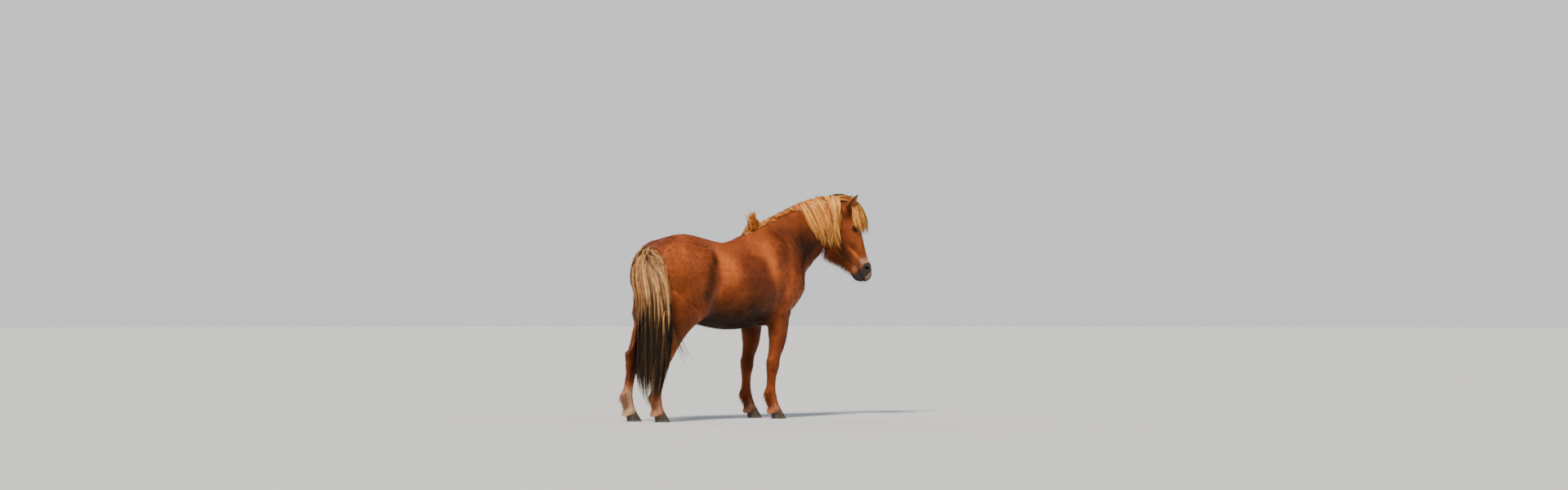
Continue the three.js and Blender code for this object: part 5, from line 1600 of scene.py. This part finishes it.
SKY_LIGHT = ((0.74, 0.85, 1.0, 1), 0.27)  # colour and strength
SKY_SEEN = ((0.835, 0.84, 0.85, 1), 1.04)
LAMPS = (  # name, the way to it, power, how wide its light is in degrees, tint
    ("key", (-0.66, -0.36, 0.78), 5.2, 12, (1.0, 0.93, 0.82)),
    ("fill", (0.55, -0.75, 0.45), 0.6, 60, (0.90, 0.95, 1.0)),
    ("far_side", (-0.1, 1.0, 0.5), 0.9, 60, (0.92, 0.96, 1.0)),
)


def add_object(name, data):
    added = bpy.data.objects.new(name, data)
    bpy.context.scene.collection.objects.link(added)
    return added


def make_floor():
    made = bmesh.new()
    bmesh.ops.create_circle(made, cap_ends=True, segments=96, radius=90)
    mesh = bpy.data.meshes.new("floor")
    made.to_mesh(mesh)
    made.free()
    material, tree, shader = new_material("pale_floor", 0.75, 0.2)
    cloud = noise(tree, object_place(tree), 0.7, 3.0)
    pale = mix(tree, cloud, colour(214, 214, 213), colour(222, 222, 221))
    tree.links.new(pale, shader.inputs["Base Color"])
    mesh.materials.append(material)
    add_object("floor", mesh)


def make_light():
    """A pale studio, seen brighter than it lights, and three soft lamps."""
    world = bpy.data.worlds.new("studio")
    bpy.context.scene.world = world
    world.use_nodes = True
    tree = world.node_tree
    soft = tree.nodes["Background"]
    soft.inputs[0].default_value, soft.inputs[1].default_value = SKY_LIGHT
    seen = node(tree, "ShaderNodeBackground", Color=SKY_SEEN[0], Strength=SKY_SEEN[1])
    either = tree.nodes.new("ShaderNodeMixShader")
    tree.links.new(tree.nodes.new("ShaderNodeLightPath").outputs["Is Camera Ray"], either.inputs[0])
    tree.links.new(soft.outputs[0], either.inputs[1])
    tree.links.new(seen.outputs[0], either.inputs[2])
    tree.links.new(either.outputs[0], tree.nodes["World Output"].inputs[0])
    for name, way, power, spread, tint in LAMPS:
        light = bpy.data.lights.new(name, "SUN")
        light.energy, light.angle, light.color = power, math.radians(spread), tint
        add_object(name, light).rotation_euler = Vector(way).to_track_quat("Z", "Y").to_euler()


FOCAL, SENSOR = 85, 36
PICTURE = (1920, 600)
CAMERA_TURN, CAMERA_AWAY, CAMERA_HIGH = math.radians(42), 27.5, 0.9
AIM, AIM_PIXEL = (0, 0, 750), (882, 390)  # a place in the middle of the trunk, and where the picture has it


def make_camera():
    """Stands where the photo was taken from: far off, as high as the flank, on the right rear quarter."""
    pixels = FOCAL / SENSOR * PICTURE[0]
    at = np.array((-math.sin(CAMERA_TURN) * CAMERA_AWAY, -math.cos(CAMERA_TURN) * CAMERA_AWAY, CAMERA_HIGH))
    at -= SHIFT
    aim = place(*AIM) - at
    yaw = math.atan2(aim[1], aim[0]) + math.atan((AIM_PIXEL[0] - PICTURE[0] / 2) / pixels)
    pitch = math.atan2(aim[2], math.hypot(*aim[:2])) - math.atan((PICTURE[1] / 2 - AIM_PIXEL[1]) / pixels)
    forward = Vector((math.cos(yaw) * math.cos(pitch), math.sin(yaw) * math.cos(pitch), math.sin(pitch)))
    data = bpy.data.cameras.new("camera")
    data.lens = FOCAL
    data.sensor_width = SENSOR
    data.clip_end = 300
    camera = add_object("camera", data)
    camera.location = at
    camera.rotation_euler = forward.to_track_quat("-Z", "Y").to_euler()
    bpy.context.scene.camera = camera


make_floor()
make_light()
make_camera()
